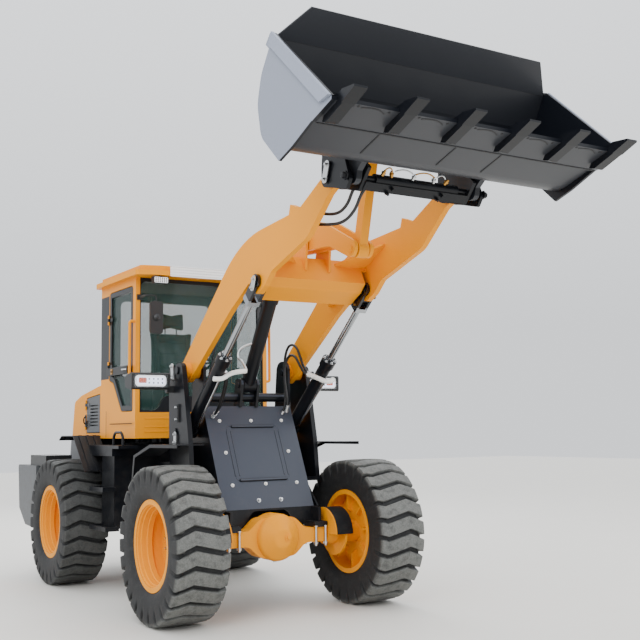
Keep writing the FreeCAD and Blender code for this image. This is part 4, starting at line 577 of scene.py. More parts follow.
def spline(name, points, radius, order=3, resolution=10, sides=4):
    data = bpy.data.curves.new(name, "CURVE")
    data.dimensions = "3D"
    data.bevel_depth = radius
    data.bevel_resolution = sides
    data.resolution_u = resolution
    data.use_fill_caps = True
    line = data.splines.new("NURBS")
    line.points.add(len(points) - 1)
    for point, place in zip(line.points, points):
        point.co = (*place, 1)
    line.order_u = order
    line.use_endpoint_u = True
    piece = bpy.data.objects.new(name, data)
    bpy.context.collection.objects.link(piece)
    return piece


# %% A Geometry Nodes tree for bolts


def socketed(name, sockets):
    """An empty geometry tree with named inputs; returns the tree, its input and output nodes and its ids."""
    tree = bpy.data.node_groups.new(name, "GeometryNodeTree")
    tree.interface.new_socket("Geometry", in_out="INPUT", socket_type="NodeSocketGeometry")
    tree.interface.new_socket("Geometry", in_out="OUTPUT", socket_type="NodeSocketGeometry")
    ids = {}
    for label, kind in sockets:
        ids[label] = tree.interface.new_socket(label, in_out="INPUT", socket_type="NodeSocket" + kind).identifier
    return tree, tree.nodes.new("NodeGroupInput"), tree.nodes.new("NodeGroupOutput"), ids


def bolt_tree():
    """A hexagon head on a washer at each point, turned to its facing and scaled to its size across the flats."""
    tree, given, result, ids = socketed("bolt_heads", [("Sides", "Int"), ("Head height", "Float"),
                                                       ("Metal", "Material")])
    head = add(tree, "GeometryNodeMeshCone", Vertices=given.outputs["Sides"], Radius_Top=0.47,
               Radius_Bottom=0.577, Depth=given.outputs["Head height"])
    washer = add(tree, "GeometryNodeMeshCylinder", Vertices=20, Radius=0.8, Depth=0.12)
    seated = add(tree, "GeometryNodeTransform", Geometry=head.outputs[0], Translation=(0, 0, 0.1))
    whole = add(tree, "GeometryNodeJoinGeometry")
    tree.links.new(seated.outputs[0], whole.inputs[0])
    tree.links.new(washer.outputs[0], whole.inputs[0])
    facing = add(tree, "GeometryNodeInputNamedAttribute", [("data_type", "FLOAT_VECTOR")], Name="facing")
    size = add(tree, "GeometryNodeInputNamedAttribute", [("data_type", "FLOAT")], Name="flats")
    turn = add(tree, "FunctionNodeAlignRotationToVector", [("axis", "Z")], Vector=facing.outputs[0])
    placed = add(tree, "GeometryNodeInstanceOnPoints", Points=given.outputs[0], Instance=whole.outputs[0],
                 Rotation=turn.outputs[0], Scale=size.outputs[0])
    solid = add(tree, "GeometryNodeRealizeInstances", Geometry=placed.outputs[0])
    coated = add(tree, "GeometryNodeSetMaterial", Geometry=solid.outputs[0], Material=given.outputs["Metal"])
    tree.links.new(coated.outputs[0], result.inputs[0])
    return tree, ids


BOLT_TREE, BOLT_IDS = bolt_tree()


def grown(name, source, tree, values, body, slot):
    """Run a geometry tree on source, keep the result as a plain mesh on a body, and drop the source."""
    modifier = source.modifiers.new("tree", "NODES")
    modifier.node_group = tree
    for identifier, value in values:
        modifier[identifier] = value
    mesh = bpy.data.meshes.new_from_object(source.evaluated_get(bpy.context.evaluated_depsgraph_get()))
    bpy.data.objects.remove(source)
    mesh.name = name
    piece = bpy.data.objects.new(name, mesh)
    bpy.context.collection.objects.link(piece)
    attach(piece, body)
    return piece


def bolts(name, rows, metal_used, body, slot, sides=6, height=0.55):
    """rows are (place, facing, size across the flats in metres)."""
    mesh = bpy.data.meshes.new(name + "_points")
    mesh.from_pydata([tuple(row[0]) for row in rows], [], [])
    mesh.attributes.new("facing", "FLOAT_VECTOR", "POINT")
    mesh.attributes.new("flats", "FLOAT", "POINT")
    for index, (_, direction, size) in enumerate(rows):
        mesh.attributes["facing"].data[index].vector = Vector(direction).normalized()
        mesh.attributes["flats"].data[index].value = size
    source = bpy.data.objects.new(name + "_points", mesh)
    bpy.context.collection.objects.link(source)
    return grown(name, source, BOLT_TREE, [(BOLT_IDS["Sides"], sides), (BOLT_IDS["Head height"], height),
                                           (BOLT_IDS["Metal"], metal_used)], body, slot)


def both_sides(rows):
    """The rows and their mirror images across the machine's middle plane."""
    flipped = [((-p[0], p[1], p[2]), (-f[0], f[1], f[2]), s) for p, f, s in rows]
    return rows + flipped


print("shape tools ready")

# %% [markdown]
# Oil reaches the lift cylinders through rubber hoses that loop up from fittings on the sloped cover, and
# the coupler's lock through two more beside the right arm. A hose is one smooth spline through points set
# from the photograph.

# %% Hoses
HOSE_THICK = 0.022
# name, body at its start and end, where the turn starts and ends, and its route from the front axle
hoses = [
    ("lift_hose_left_outer", "front_body", "lift_barrels", (0.36, 0.40, 1.75), (0.40, 0.12, 1.91),
     [(0.310, 0.420, 1.545), (0.335, 0.385, 1.610), (0.350, 0.405, 1.740), (0.356, 0.428, 1.900),
      (0.362, 0.432, 2.050), (0.368, 0.372, 2.155), (0.376, 0.262, 2.145), (0.386, 0.203, 2.040),
      (0.394, 0.170, 1.955), (0.400, 0.112, 1.905), (0.405, 0.053, 1.894)]),
    ("lift_hose_left_inner", "front_body", "lift_barrels", (0.36, 0.40, 1.75), (0.37, 0.12, 1.88),
     [(0.340, 0.372, 1.590), (0.342, 0.345, 1.650), (0.338, 0.370, 1.760), (0.334, 0.390, 1.880),
      (0.338, 0.388, 1.975), (0.346, 0.335, 2.062), (0.352, 0.238, 2.055), (0.362, 0.180, 1.975),
      (0.372, 0.140, 1.915), (0.384, 0.095, 1.880), (0.400, 0.052, 1.862)]),
    ("lift_hose_right_outer", "front_body", "lift_barrels", (-0.36, 0.25, 1.62), (-0.385, 0.08, 1.82),
     [(-0.350, 0.372, 1.545), (-0.356, 0.300, 1.570), (-0.362, 0.215, 1.643), (-0.370, 0.125, 1.750),
      (-0.385, 0.060, 1.830), (-0.406, 0.026, 1.882)]),
    ("lift_hose_right_inner", "front_body", "lift_barrels", (-0.33, 0.25, 1.64), (-0.345, 0.10, 1.83),
     [(-0.318, 0.395, 1.570), (-0.322, 0.320, 1.600), (-0.328, 0.240, 1.670), (-0.336, 0.160, 1.770),
      (-0.352, 0.098, 1.838), (-0.398, 0.052, 1.868)]),
    ("lock_hose_upper", "boom", "bucket", (-0.39, -1.47, 2.87), (-0.345, -1.84, 3.02),
     [(-0.445, -1.330, 2.915), (-0.405, -1.425, 2.880), (-0.366, -1.590, 2.845), (-0.350, -1.690, 2.893),
      (-0.352, -1.760, 2.985), (-0.335, -1.850, 3.045), (-0.312, -1.950, 3.012)]),
    ("lock_hose_lower", "boom", "bucket", (-0.38, -1.50, 2.80), (-0.310, -1.87, 3.00),
     [(-0.445, -1.375, 2.815), (-0.400, -1.475, 2.792), (-0.352, -1.640, 2.780), (-0.332, -1.755, 2.848),
      (-0.330, -1.820, 2.945), (-0.295, -1.895, 3.015), (-0.250, -1.955, 3.008)]),
]
for name, first_body, last_body, turn_start, turn_end, route in hoses:
    line = spline(name, [at(*point) for point in route], 0.0, sides=3, resolution=8)
    seen = bpy.context.evaluated_depsgraph_get()
    path = [vertex.co.copy() for vertex in bpy.data.meshes.new_from_object(line.evaluated_get(seen)).vertices]
    line.data.bevel_depth = HOSE_THICK / 2
    seen = bpy.context.evaluated_depsgraph_get()
    tube = bpy.data.meshes.new_from_object(line.evaluated_get(seen))
    bpy.data.objects.remove(line)
    tube.materials.clear()
    tube.materials.append(hose_rubber)
    hose = bpy.data.objects.new(name, tube)
    bpy.context.collection.objects.link(hose)
    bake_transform(hose)

# %% [markdown]
# The tyres are what the eye meets first. A real one is moulded in a press whose ring of segments
# repeats the same tread pitch. One pitch is drawn here as a sheared grid, so that the grid's lines
# run along the lug's wavy edges and the edges stay crisp, and Geometry Nodes turn it round the axle.

# %% One pitch of tread
TYRE_RADIUS = 0.5875
TRACK_HALF = 0.860
AXLES = {"front": 0.0, "rear": 2.545}
PITCH_COUNT = 26
PITCH = 2 * math.pi / PITCH_COUNT
# half the section, from the bead to the middle: half width and radius of the carcass, then of the
# lug's surface, and how much yard dust lies there
SECTION = [
    (0.148, 0.313, 0.148, 0.313, 0), (0.160, 0.334, 0.160, 0.334, 0), (0.178, 0.346, 0.178, 0.346, 0),
    (0.191, 0.364, 0.191, 0.364, 0), (0.200, 0.396, 0.200, 0.396, 0), (0.204, 0.432, 0.204, 0.432, 0),
    (0.2045, 0.462, 0.2045, 0.462, 0), (0.2015, 0.490, 0.2055, 0.484, 0), (0.196, 0.514, 0.2085, 0.516, 0),
    (0.187, 0.533, 0.2090, 0.549, 0.1), (0.172, 0.545, 0.2065, 0.5685, 0.75), (0.150, 0.550, 0.197, 0.5795, 1),
    (0.1435, 0.5515, 0.1435, 0.5842, 1), (0.100, 0.553, 0.105, 0.5860, 1), (0.068, 0.554, 0.068, 0.5870, 1),
    (0.030, 0.5545, 0.034, 0.5874, 1), (0.0, 0.5545, 0.0, 0.5875, 1)]
# across one pitch: share of the pitch, and height between carcass and lug surface
PROFILE = [(-0.5, 0), (-0.42, 0), (-0.385, 0.06), (-0.352, 0.9), (-0.338, 1), (-0.17, 1), (0, 1), (0.17, 1),
           (0.338, 1), (0.352, 0.9), (0.385, 0.06), (0.42, 0), (0.5, 0)]
# the lug's line over the tread, from the outer shoulder to the inner one: place and lead in metres
LUG_LINE = [(0.215, -0.030), (0.068, 0.028), (-0.1435, -0.024), (-0.215, -0.006)]


def lug_lead(x):
    for (x1, lead1), (x0, lead0) in zip(LUG_LINE, LUG_LINE[1:]):
        if x >= x0:
            return lead0 + (lead1 - lead0) * (x - x0) / (x1 - x0)
    return LUG_LINE[-1][1]


def tread_pitch(side):
    """The pitch about the X axis with its lug on top, its outer wall towards side."""
    rows = SECTION + [(-a, b, -c, d, e) for a, b, c, d, e in reversed(SECTION[:-1])]
    bm = bmesh.new()
    face_layer = bm.verts.layers.float.new("lug_face")
    radius_layer = bm.verts.layers.float.new("from_axle")
    grid = []
    for low_x, low_r, high_x, high_r, dusty in rows:
        line = []
        for share, height in PROFILE:
            x = low_x + (high_x - low_x) * height
            radius = low_r + (high_r - low_r) * height
            angle = share * PITCH + lug_lead(high_x) / TYRE_RADIUS
            vert = bm.verts.new((side * x, radius * math.sin(angle), radius * math.cos(angle)))
            vert[face_layer] = dusty if height > 0.8 else 0.0
            vert[radius_layer] = radius
            line.append(vert)
        grid.append(line)
    for first, second in zip(grid, grid[1:] + grid[:1]):
        for a, b, c, d in zip(first, first[1:], second[1:], second):
            bm.faces.new((a, b, c, d))
    mesh = bpy.data.meshes.new("tread_pitch")
    bm.to_mesh(mesh)
    bm.free()
    piece = bpy.data.objects.new("tread_pitch", mesh)
    bpy.context.collection.objects.link(piece)
    return piece


# %% The tree that turns the pitch into a tyre
def tyre_tree():
    tree, given, result, ids = socketed("tyre_from_pitch", [("Pitches", "Int"), ("Axle", "Vector"),
                                                            ("Weld", "Float"), ("Rubber", "Material")])
    centres = add(tree, "GeometryNodePoints", Count=given.outputs["Pitches"], Position=given.outputs["Axle"])
    step = add(tree, "ShaderNodeMath", [("operation", "DIVIDE")], i0=2 * math.pi, i1=given.outputs["Pitches"])
    index = add(tree, "GeometryNodeInputIndex")
    angle = add(tree, "ShaderNodeMath", [("operation", "MULTIPLY")], i0=index.outputs[0], i1=step.outputs[0])
    turn = add(tree, "ShaderNodeCombineXYZ", X=angle.outputs[0])
    ring = add(tree, "GeometryNodeInstanceOnPoints", Points=centres.outputs[0], Instance=given.outputs[0],
               Rotation=turn.outputs[0])
    solid = add(tree, "GeometryNodeRealizeInstances", Geometry=ring.outputs[0])
    closed = add(tree, "GeometryNodeMergeByDistance", Geometry=solid.outputs[0], Distance=given.outputs["Weld"])
    coated = add(tree, "GeometryNodeSetMaterial", Geometry=closed.outputs[0], Material=given.outputs["Rubber"])
    tree.links.new(coated.outputs[0], result.inputs[0])
    return tree, ids


TYRE_TREE, TYRE_IDS = tyre_tree()
corners = [(end + "_" + hand, side, AXLES[end]) for end in ("front", "rear") for hand, side in
           (("left", 1), ("right", -1))]
for corner, side, axle_y in corners:
    tyre = grown("tyre_" + corner + "_tread", tread_pitch(side), TYRE_TREE, [
        (TYRE_IDS["Pitches"], PITCH_COUNT), (TYRE_IDS["Axle"], tuple(at(side * TRACK_HALF, axle_y, TYRE_RADIUS))),
        (TYRE_IDS["Weld"], 0.0002), (TYRE_IDS["Rubber"], tyre_rubber)], "wheel_" + corner, "tyre_rubber")
    bm = bmesh.new()
    bm.from_mesh(tyre.data)
    bmesh.ops.recalc_face_normals(bm, faces=bm.faces)
    bm.to_mesh(tyre.data)
    bm.free()
    tyre.data.shade_smooth()
    tyre.data.set_sharp_from_angle(angle=math.radians(38))
    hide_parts("tyre_" + corner)
    print(tyre.name, len(tyre.data.polygons), "faces")

# %% [markdown]
# Each wheel disc is held by ten zinc nuts on its hub, and the hub's cover has six small bolts.

# %% Wheel nuts
for corner, side, axle_y in corners:
    rows = []
    for count, ring, out, flats in ((10, 0.190, -0.077, 0.030), (8, 0.098, 0.0135, 0.016)):
        for index in range(count):
            angle = 2 * math.pi * (index + 0.5) / count
            rows.append((at(side * (TRACK_HALF + out), axle_y + ring * math.sin(angle),
                            TYRE_RADIUS + ring * math.cos(angle)), (side, 0, 0), flats))
    bolts("wheel_nuts_" + corner, rows, zinc, "wheel_" + corner, "worn_steel",
          height=0.8)
print("wheel nuts on", len(corners), "wheels")

# %% [markdown]
# Looking into a wheel, the eye meets the rim's steps: the flange, the bead seat and the well. They are a
# ring spun from its section and welded inside the CAD rim, in the rim's own enamel.

# %% Rim steps
# distance outward from the wheel's middle, radius; the ring's inner line, then its outer one
RIM_LINE = [(0.168, 0.2995), (0.160, 0.2940), (0.140, 0.2925), (0.136, 0.2840), (0.096, 0.2815), (0.090, 0.2760),
            (0.052, 0.2755), (0.046, 0.2815), (0.040, 0.2990)]
RIM_BACK = [(0.040, 0.3012), (0.168, 0.3012)]


def add_ring(bm, centre, direction, section, count=64):
    """Spin a closed section of (distance, radius) points round the line from centre along direction."""
    axis = Vector(direction).normalized()
    side_way = axis.orthogonal().normalized()
    other = axis.cross(side_way)
    rings = []
    for along, radius in section:
        middle = Vector(centre) + axis * along
        rings.append([bm.verts.new(middle + side_way * u + other * v) for u, v in circle(radius, count)])
    for first, second in zip(rings, rings[1:] + rings[:1]):
        for index in range(count):
            following = (index + 1) % count
            bm.faces.new((first[index], first[following], second[following], second[index]))


for corner, side, axle_y in corners:
    bm = bmesh.new()
    add_ring(bm, at(side * TRACK_HALF, axle_y, TYRE_RADIUS), (side, 0, 0), RIM_LINE + RIM_BACK)
    finish_mesh("rim_steps_" + corner, bm, orange_enamel, "wheel_" + corner, smooth=25)
print("rim steps on", len(corners), "wheels")

# %% [markdown]
# The sloped cover between the arms is bolted on: eight domed white bolts round the pressed field and
# two with red paint marks near its foot. Their places were read off the photograph in the cover's plane.

# %% Cover bolts
COVER_LOW, COVER_HIGH = (0.051, 0.800), (0.432, 1.630)
COVER_LENGTH = math.dist(COVER_LOW, COVER_HIGH)
COVER_UP = Vector((0, COVER_HIGH[0] - COVER_LOW[0], COVER_HIGH[1] - COVER_LOW[1])).normalized()
COVER_OUT = Vector((0, -COVER_UP.z, COVER_UP.y))


def on_cover(x, up_slope, out=0.0):
    return at(x, *COVER_LOW) + COVER_UP * up_slope + COVER_OUT * out


white_rows = [(on_cover(x, s, 0.002), COVER_OUT, 0.019) for x, s in (
    (-0.29, 0.778), (0, 0.778), (0.29, 0.778), (-0.29, 0.495), (0.29, 0.495), (-0.29, 0.213), (0.01, 0.215),
    (0.30, 0.215))]
bolts("cover_bolts", white_rows, white_enamel, "front_body", "white_paint", sides=10, height=0.6)
red_rows = [(on_cover(x, 0.076, 0.002), COVER_OUT, 0.022) for x in (-0.085, 0.117)]
red_mark = painted("red_paint_mark", "b3261b", roughness=0.4, coat=0.2)
bolts("cover_stud_nuts", red_rows, zinc, "front_body", "worn_steel", height=0.7)
bolts("cover_stud_marks", [(p + COVER_OUT * 0.011, f, 0.010) for p, f, s in red_rows], red_mark, "front_body",
      "worn_steel", sides=10, height=0.5)
field_middle = (0, 0.535 * COVER_LENGTH)
bm = bmesh.new()
for x in (-0.242, -0.205, 0.205, 0.242):
    add_slab(bm, rounded(0.014, 0.400, 0.006, centre=(x, field_middle[1])), on_cover(0, 0, -0.0010),
             (1, 0, 0), COVER_UP, 0.005, soft=0.0022)
for width, edge in ((0.400, 0.236), (0.440, -0.236)):
    add_slab(bm, rounded(width, 0.024, 0.011, steps=6, centre=(0, field_middle[1] + edge)),
             on_cover(0, 0, 0.0010), (1, 0, 0), COVER_UP, 0.014, soft=0.006)
finish_mesh("cover_beads", bm, frame_enamel, "front_body", smooth=50)
bm = bmesh.new()
add_slab(bm, rounded(0.486, 0.480, 0.031, steps=6, centre=field_middle), on_cover(0, 0, -0.0021), (1, 0, 0),
         COVER_UP, 0.003, soft=0)
finish_mesh("cover_field", bm, frame_enamel, "front_body")
print("cover bolts", len(white_rows) + len(red_rows))

# %% [markdown]
# Small turned parts, such as crimped hose ends, pins and lamp cups, are profiles spun round a line. Each
# hose ends in a zinc ferrule, and a steel pipe runs down each lift cylinder from a junction still wrapped
# in the white film that it was shipped in.

# %% Turned parts, ferrules and pipes


def add_turned(bm, start, direction, profile, count=20):
    """Spin a profile of (distance, radius) rows round the line from start along direction."""
    axis = Vector(direction).normalized()
    side = axis.orthogonal().normalized()
    other = axis.cross(side)
    rings = []
    for along, radius in profile:
        centre = Vector(start) + axis * along
        rings.append([bm.verts.new(centre + (side * u + other * v)) for u, v in circle(radius, count)])
    for first, second in zip(rings, rings[1:]):
        for index in range(count):
            following = (index + 1) % count
            bm.faces.new((first[index], first[following], second[following], second[index]))
    bm.faces.new(rings[0])
    bm.faces.new(rings[-1])


def turned_piece(name, rows, profile, material, body, count=20):
    """The same profile at each (start, direction) row."""
    bm = bmesh.new()
    for start, direction in rows:
        add_turned(bm, start, direction, profile, count)
    return finish_mesh(name, bm, material, body, smooth=35)


def hose_ends(picked, end):
    """Places and directions of the chosen hoses' ends."""
    rows = []
    for row in hoses:
        if row[0] in picked:
            first, second = (row[5][0], row[5][1]) if end == "start" else (row[5][-1], row[5][-2])
            first, second = at(*first), at(*second)
            rows.append((first - (second - first).normalized() * 0.012, second - first))
    return rows


FERRULE = [(0, 0.009), (0.001, 0.017), (0.014, 0.017), (0.015, 0.0125), (0.019, 0.0125), (0.020, 0.0145),
           (0.030, 0.0145), (0.031, 0.0132), (0.034, 0.0132), (0.035, 0.0145), (0.045, 0.0145), (0.046, 0.0132),
           (0.049, 0.0132), (0.050, 0.0145), (0.062, 0.0145), (0.063, 0.0115)]
lift_hoses = [row[0] for row in hoses if row[0].startswith("lift")]
lock_hoses = [row[0] for row in hoses if row[0].startswith("lock")]
turned_piece("ferrules_on_cover", hose_ends(lift_hoses, "start"), FERRULE, zinc, "front_body")
turned_piece("ferrules_on_cylinders", hose_ends(lift_hoses, "end"), FERRULE, zinc, "lift_barrels")
turned_piece("ferrules_on_boom", hose_ends(lock_hoses, "start"), FERRULE, zinc, "boom")
turned_piece("ferrules_on_coupler", hose_ends(lock_hoses, "end"), FERRULE, brass, "bucket")

LIFT_BASE, LIFT_RUN, LIFT_UNDER = (0.550, 1.430), (-0.7610, 0.6488), (-0.6488, -0.7610)


def along_lift(x, run, under=0.0):
    """A place along the lift cylinder from its foot, and square to it on its lower side."""
    return at(x, LIFT_BASE[0] + LIFT_RUN[0] * run + LIFT_UNDER[0] * under,
              LIFT_BASE[1] + LIFT_RUN[1] * run + LIFT_UNDER[1] * under)


film = moulded("protective_film", "dfe0dc", 0.5, grain=0.012, strength=0.9)
for side, hand in ((1, "left"), (-1, "right")):
    x = side * 0.477
    pipe("lift_pipe_" + hand, [along_lift(x, 0.10, 0.050), along_lift(x, 0.11, 0.070), along_lift(x, 0.20, 0.073),
                               along_lift(x, 0.60, 0.073), along_lift(x + side * 0.01, 0.68, 0.080)],
         0.008, zinc, "lift_barrels")
pipe("junction_left", [at(0.384, 0.075, 1.885), at(0.420, 0.010, 1.860), at(0.470, -0.045, 1.822),
                       at(0.530, -0.045, 1.822), at(0.565, -0.030, 1.840)], 0.021, film, "lift_barrels")
pipe("junction_right", [at(-0.540, -0.040, 1.830), at(-0.477, -0.048, 1.822), at(-0.400, -0.010, 1.865),
                        at(-0.320, 0.020, 1.890), at(-0.215, 0.045, 1.900)], 0.019, film, "lift_barrels")
pipe("tilt_feed_pipe", [at(-0.200, 0.060, 1.905), at(-0.200, 0.120, 1.990), at(-0.190, 0.240, 2.010),
                        at(-0.150, 0.290, 2.090), at(-0.090, 0.280, 2.130), at(-0.050, 0.245, 2.140)],
     0.010, zinc, "tilt_barrel")
gland_rows = []
for x in (0.477, -0.477):
    for index in range(6):
        angle = 2 * math.pi * (index + 0.5) / 6
        gland_rows.append((along_lift(x + 0.046 * math.cos(angle), 0.8755, 0.046 * math.sin(angle)),
                           (0, LIFT_RUN[0], LIFT_RUN[1]), 0.015))
bolts("gland_bolts", gland_rows, zinc, "lift_barrels", "worn_steel", height=0.8)
print("ferrules, pipes and gland bolts")

# %% [markdown]
# Every main pin is kept from turning by an oblong zinc plate with two bolts.

# %% Pin keepers


def keeper(name, centre, side, lean, length, width, thick, body):
    """A stadium-shaped plate on a face that looks sideways; lean is its turn from upright in degrees."""
    angle = math.radians(lean)
    upright_way = Vector((0, math.sin(angle), math.cos(angle)))
    across_way = Vector((0, side * math.cos(angle), -side * math.sin(angle)))
    slab(name + "_plate", rounded(width, length, width * 0.49, steps=8), centre, across_way, upright_way, thick,
         zinc, body, "worn_steel", soft=0.002)
    reach = length / 2 - width * 0.5
    rows = [(centre + upright_way * step * reach + Vector((side * thick, 0, 0)), (side, 0, 0), width * 0.42)
            for step in (1, -1)]
    bolts(name + "_bolts", rows, zinc, body, "worn_steel", height=0.6)


for side, hand in ((1, "left"), (-1, "right")):
    keeper("boom_foot_keeper_" + hand, at(side * 0.612, 0.590, 1.912), side, 8, 0.150, 0.048, 0.008, "front_body")
    keeper("cylinder_foot_keeper_" + hand, at(side * 0.612, 0.532, 1.372), side, 0, 0.110, 0.046, 0.008,
           "front_body")
    keeper("lift_eye_keeper_" + hand, at(side * 0.5378, -0.708, 2.490), side, -24, 0.118, 0.050, 0.006,
           "lift_rods")
    keeper("tip_pin_keeper_" + hand, at(side * 0.5548, -1.758, 3.073), side, -20, 0.150, 0.055, 0.008, "bucket")
    turned_piece("lock_pin_end_" + hand, [(at(side * 0.552, -1.986, 2.998), (side, 0, 0))],
                 [(0, 0.030), (0.012, 0.030), (0.013, 0.022), (0.030, 0.021), (0.033, 0.016)], black_enamel,
                 "bucket", count=6)
bracket_rows = [(at(side * 0.612, 0.502, z), (side, 0, 0), 0.022) for side in (1, -1) for z in (1.623, 1.526)]
bolts("tower_bracket_bolts", bracket_rows, zinc, "front_body", "worn_steel", height=0.7)
for side, hand in ((1, "left"), (-1, "right")):
    slab("tower_bracket_" + hand, rounded(0.050, 0.150, 0.008, centre=(0, 0)), at(side * 0.612, 0.502, 1.575),
         (0, side, 0), (0, 0, 1), 0.004, black_enamel, "front_body", "black_paint")
print("keepers on boom, cylinders and coupler")

# %% [markdown]
# Lamps: a clear lens over a white light guide, an amber turn lamp and square cups in the headlight, and
# small cups in the work lights and the tail lamps. A lens is thin tinted plastic, so its alpha is low.

# %% Lamp materials


def lens(name, colour, see_through, glow=0.0):
    """Moulded acrylic or polycarbonate: smooth, a little tinted, with fine ribs across."""
    material, tree, shader = new_material(name)
    place = add(tree, "ShaderNodeTexCoord").outputs["Object"]
    across = add(tree, "ShaderNodeSeparateXYZ", Vector=place).outputs[0]
    ribs = maths(tree, "SINE", maths(tree, "MULTIPLY", across, 2 * math.pi / 0.008))
    bump = add(tree, "ShaderNodeBump", Height=ribs, Strength=0.25, Distance=0.0005)
    tree.links.new(bump.outputs[0], shader.inputs["Normal"])
    shader.inputs["Base Color"].default_value = linear(colour)
    shader.inputs["Roughness"].default_value = 0.12
    shader.inputs["IOR"].default_value = 1.49
    shader.inputs["Alpha"].default_value = 1 - see_through
    if glow:
        shader.inputs["Emission Color"].default_value = linear(colour)
        shader.inputs["Emission Strength"].default_value = glow
    return material


clear_lens = lens("clear_polycarbonate", "aeb6ba", 0.93)
light_guide = lens("light_guide_acrylic", "f6f8ff", 0.0, glow=0.5)
amber_lens = lens("amber_acrylic", "f07028", 0.0)
red_lens = lens("red_acrylic", "b01410", 0.0)
lamp_cup = metal("aluminised_cup", "b9bcc0", 0.2)
lamp_backing = moulded("smoked_backing", "24272b", 0.3)
led_face = lens("white_led_face", "eef0f2", 0.0, glow=0.25)

# %% Headlights, work lights and tail lamps
for side, hand in ((1, "left"), (-1, "right")):
    mid = (side * 0.820, 1.8385)
    face = ((1, 0, 0), (0, 0, 1))
    slab("headlight_reflector_" + hand, rounded(0.282, 0.100, 0.020, centre=mid), at(0, 0.5499, 0), *face, 0.001,
         lamp_backing, "front_body", "black_plastic", soft=0)
    slab("headlight_guide_" + hand, rounded(0.268, 0.090, 0.030, centre=mid), at(0, 0.5489, 0), *face, 0.003,
         light_guide, "front_body", "white_paint", soft=0.001,
         holes=[rounded(0.246, 0.068, 0.022, centre=mid)])
    slab("headlight_turn_lamp_" + hand, rounded(0.070, 0.046, 0.010, centre=(side * 0.890, 1.842)),
         at(0, 0.5489, 0), *face, 0.003, amber_lens, "front_body", "chrome_rod", soft=0.001)
    cups = [(at(side * (0.834 - 0.038 * column), 0.5488, 1.854 - 0.032 * row), (0, -1, 0), 0.019)
            for column in range(4) for row in range(2)]
    bolts("headlight_cups_" + hand, cups, lamp_cup, "front_body", "chrome_rod", sides=4, height=0.16)
    slab("headlight_lens_" + hand, rounded(0.290, 0.107, 0.014, centre=mid), at(0, 0.5458, 0), *face, 0.0015,
         clear_lens, "front_body", "tinted_glass", soft=0.0005)
    slab("work_light_face_" + hand, rounded(0.126, 0.050, 0.008, centre=(side * 0.5, 2.763)), at(0, 1.1118, 0),
         *face, 0.002, led_face, "rear_body", "white_paint", soft=0.0005)
    dots = [(at(side * 0.5 + 0.020 * (column - 2.5), 1.1098, 2.763 + 0.015 * (row - 1)), (0, -1, 0), 0.008)
            for column in range(6) for row in range(3)]
    bolts("work_light_cups_" + hand, dots, lamp_cup, "rear_body", "chrome_rod", sides=8, height=0.2)
    back_face = ((-1, 0, 0), (0, 0, 1))
    for place, colour in ((-0.070, amber_lens), (0.0, red_lens), (0.070, clear_lens)):
        slab("tail_lamp_" + hand + "_" + colour.name.split("_")[0],
             rounded(0.060, 0.070, 0.012, centre=(-side * (0.850 + place), 1.1525)), at(0, 3.450, 0), *back_face,
             0.008, colour, "rear_body", "chrome_rod", soft=0.002)
print("lamps lit")

# %% [markdown]
# The shipping condition shows on the bucket: weld seams run back from the blade, and between the teeth
# the blade carries punched marks. They are thin raised strips and rings laid on the blade's under face.

# %% Blade marks and weld seams
UNDER_BACK, UNDER_DOWN = Vector((0, 0.9548, -0.2972)), Vector((0, -0.2972, -0.9548))
BLADE_FRONT, BLADE_REAR = Vector((0, -3.193, 3.183)), Vector((0, -2.988, 3.119))
FLOOR_FRONT = Vector((0, -2.984, 3.140))
weld_bead = metal("painted_weld_bead", "1c1d20", 0.5, metallic=0.3, grain=0.006)
bm = bmesh.new()
for x in (-0.620, -0.052, 0.311):
    add_slab(bm, rounded(0.012, 0.244, 0.005), FLOOR_FRONT + UNDER_BACK * 0.134 + Vector((x, 0, 0)),
             (-1, 0, 0), UNDER_BACK, 0.0035, soft=0.0015)
add_slab(bm, rounded(2.150, 0.010, 0.004), BLADE_REAR + UNDER_BACK * 0.006 + UNDER_DOWN * -0.001, (-1, 0, 0),
         UNDER_BACK, 0.0045, soft=0.0015)
finish_mesh("weld_seams", bm, weld_bead, "bucket", smooth=35)
TOOTH_STEP = 0.414
punch_rows = []
bm = bmesh.new()
for index in range(5):
    start = -1.030 + TOOTH_STEP * index
    for lead, back in ((0.072, 0.020), (0.107, 0.018), (0.314, 0.022)):
        punch_rows.append((BLADE_FRONT + UNDER_BACK * back + Vector((start + lead, 0, 0)), UNDER_DOWN, 0.012))
    arch = []
    for step in range(13):
        share = step / 12
        arch.append((0.128 + 0.165 * share, 0.014 + 0.030 * (share - 0.5) ** 2 * 4 * (1.0 if share > 0.5 else 0.35)))
    outline = [(u, v - 0.005) for u, v in arch] + [(u, v + 0.005) for u, v in reversed(arch)]
    add_slab(bm, [(-u, v) for u, v in outline], BLADE_FRONT + Vector((start, 0, 0)), (-1, 0, 0), UNDER_BACK, 0.002,
             soft=0)
finish_mesh("blade_slots", bm, weld_bead, "bucket", smooth=35)
bolts("blade_punches", punch_rows, weld_bead, "bucket", "black_paint", sides=12, height=0.15)
tooth_bolts = []
for index in range(6):
    x = -1.030 + 0.412 * index
    for back in (0.030, 0.062):
        tooth_bolts.append((BLADE_FRONT + UNDER_BACK * back + UNDER_DOWN * 0.0225 + Vector((x, 0, 0)), UNDER_DOWN,
                            0.017))
bolts("tooth_bolts", tooth_bolts, black_enamel, "bucket", "black_paint", height=0.5)
print("blade marks", len(punch_rows), "tooth bolts", len(tooth_bolts))

# %% [markdown]
# The coupler's lock cylinder hides between its plates. Its small brass unions catch the light, and four
# black cap screws hold the bar below it.

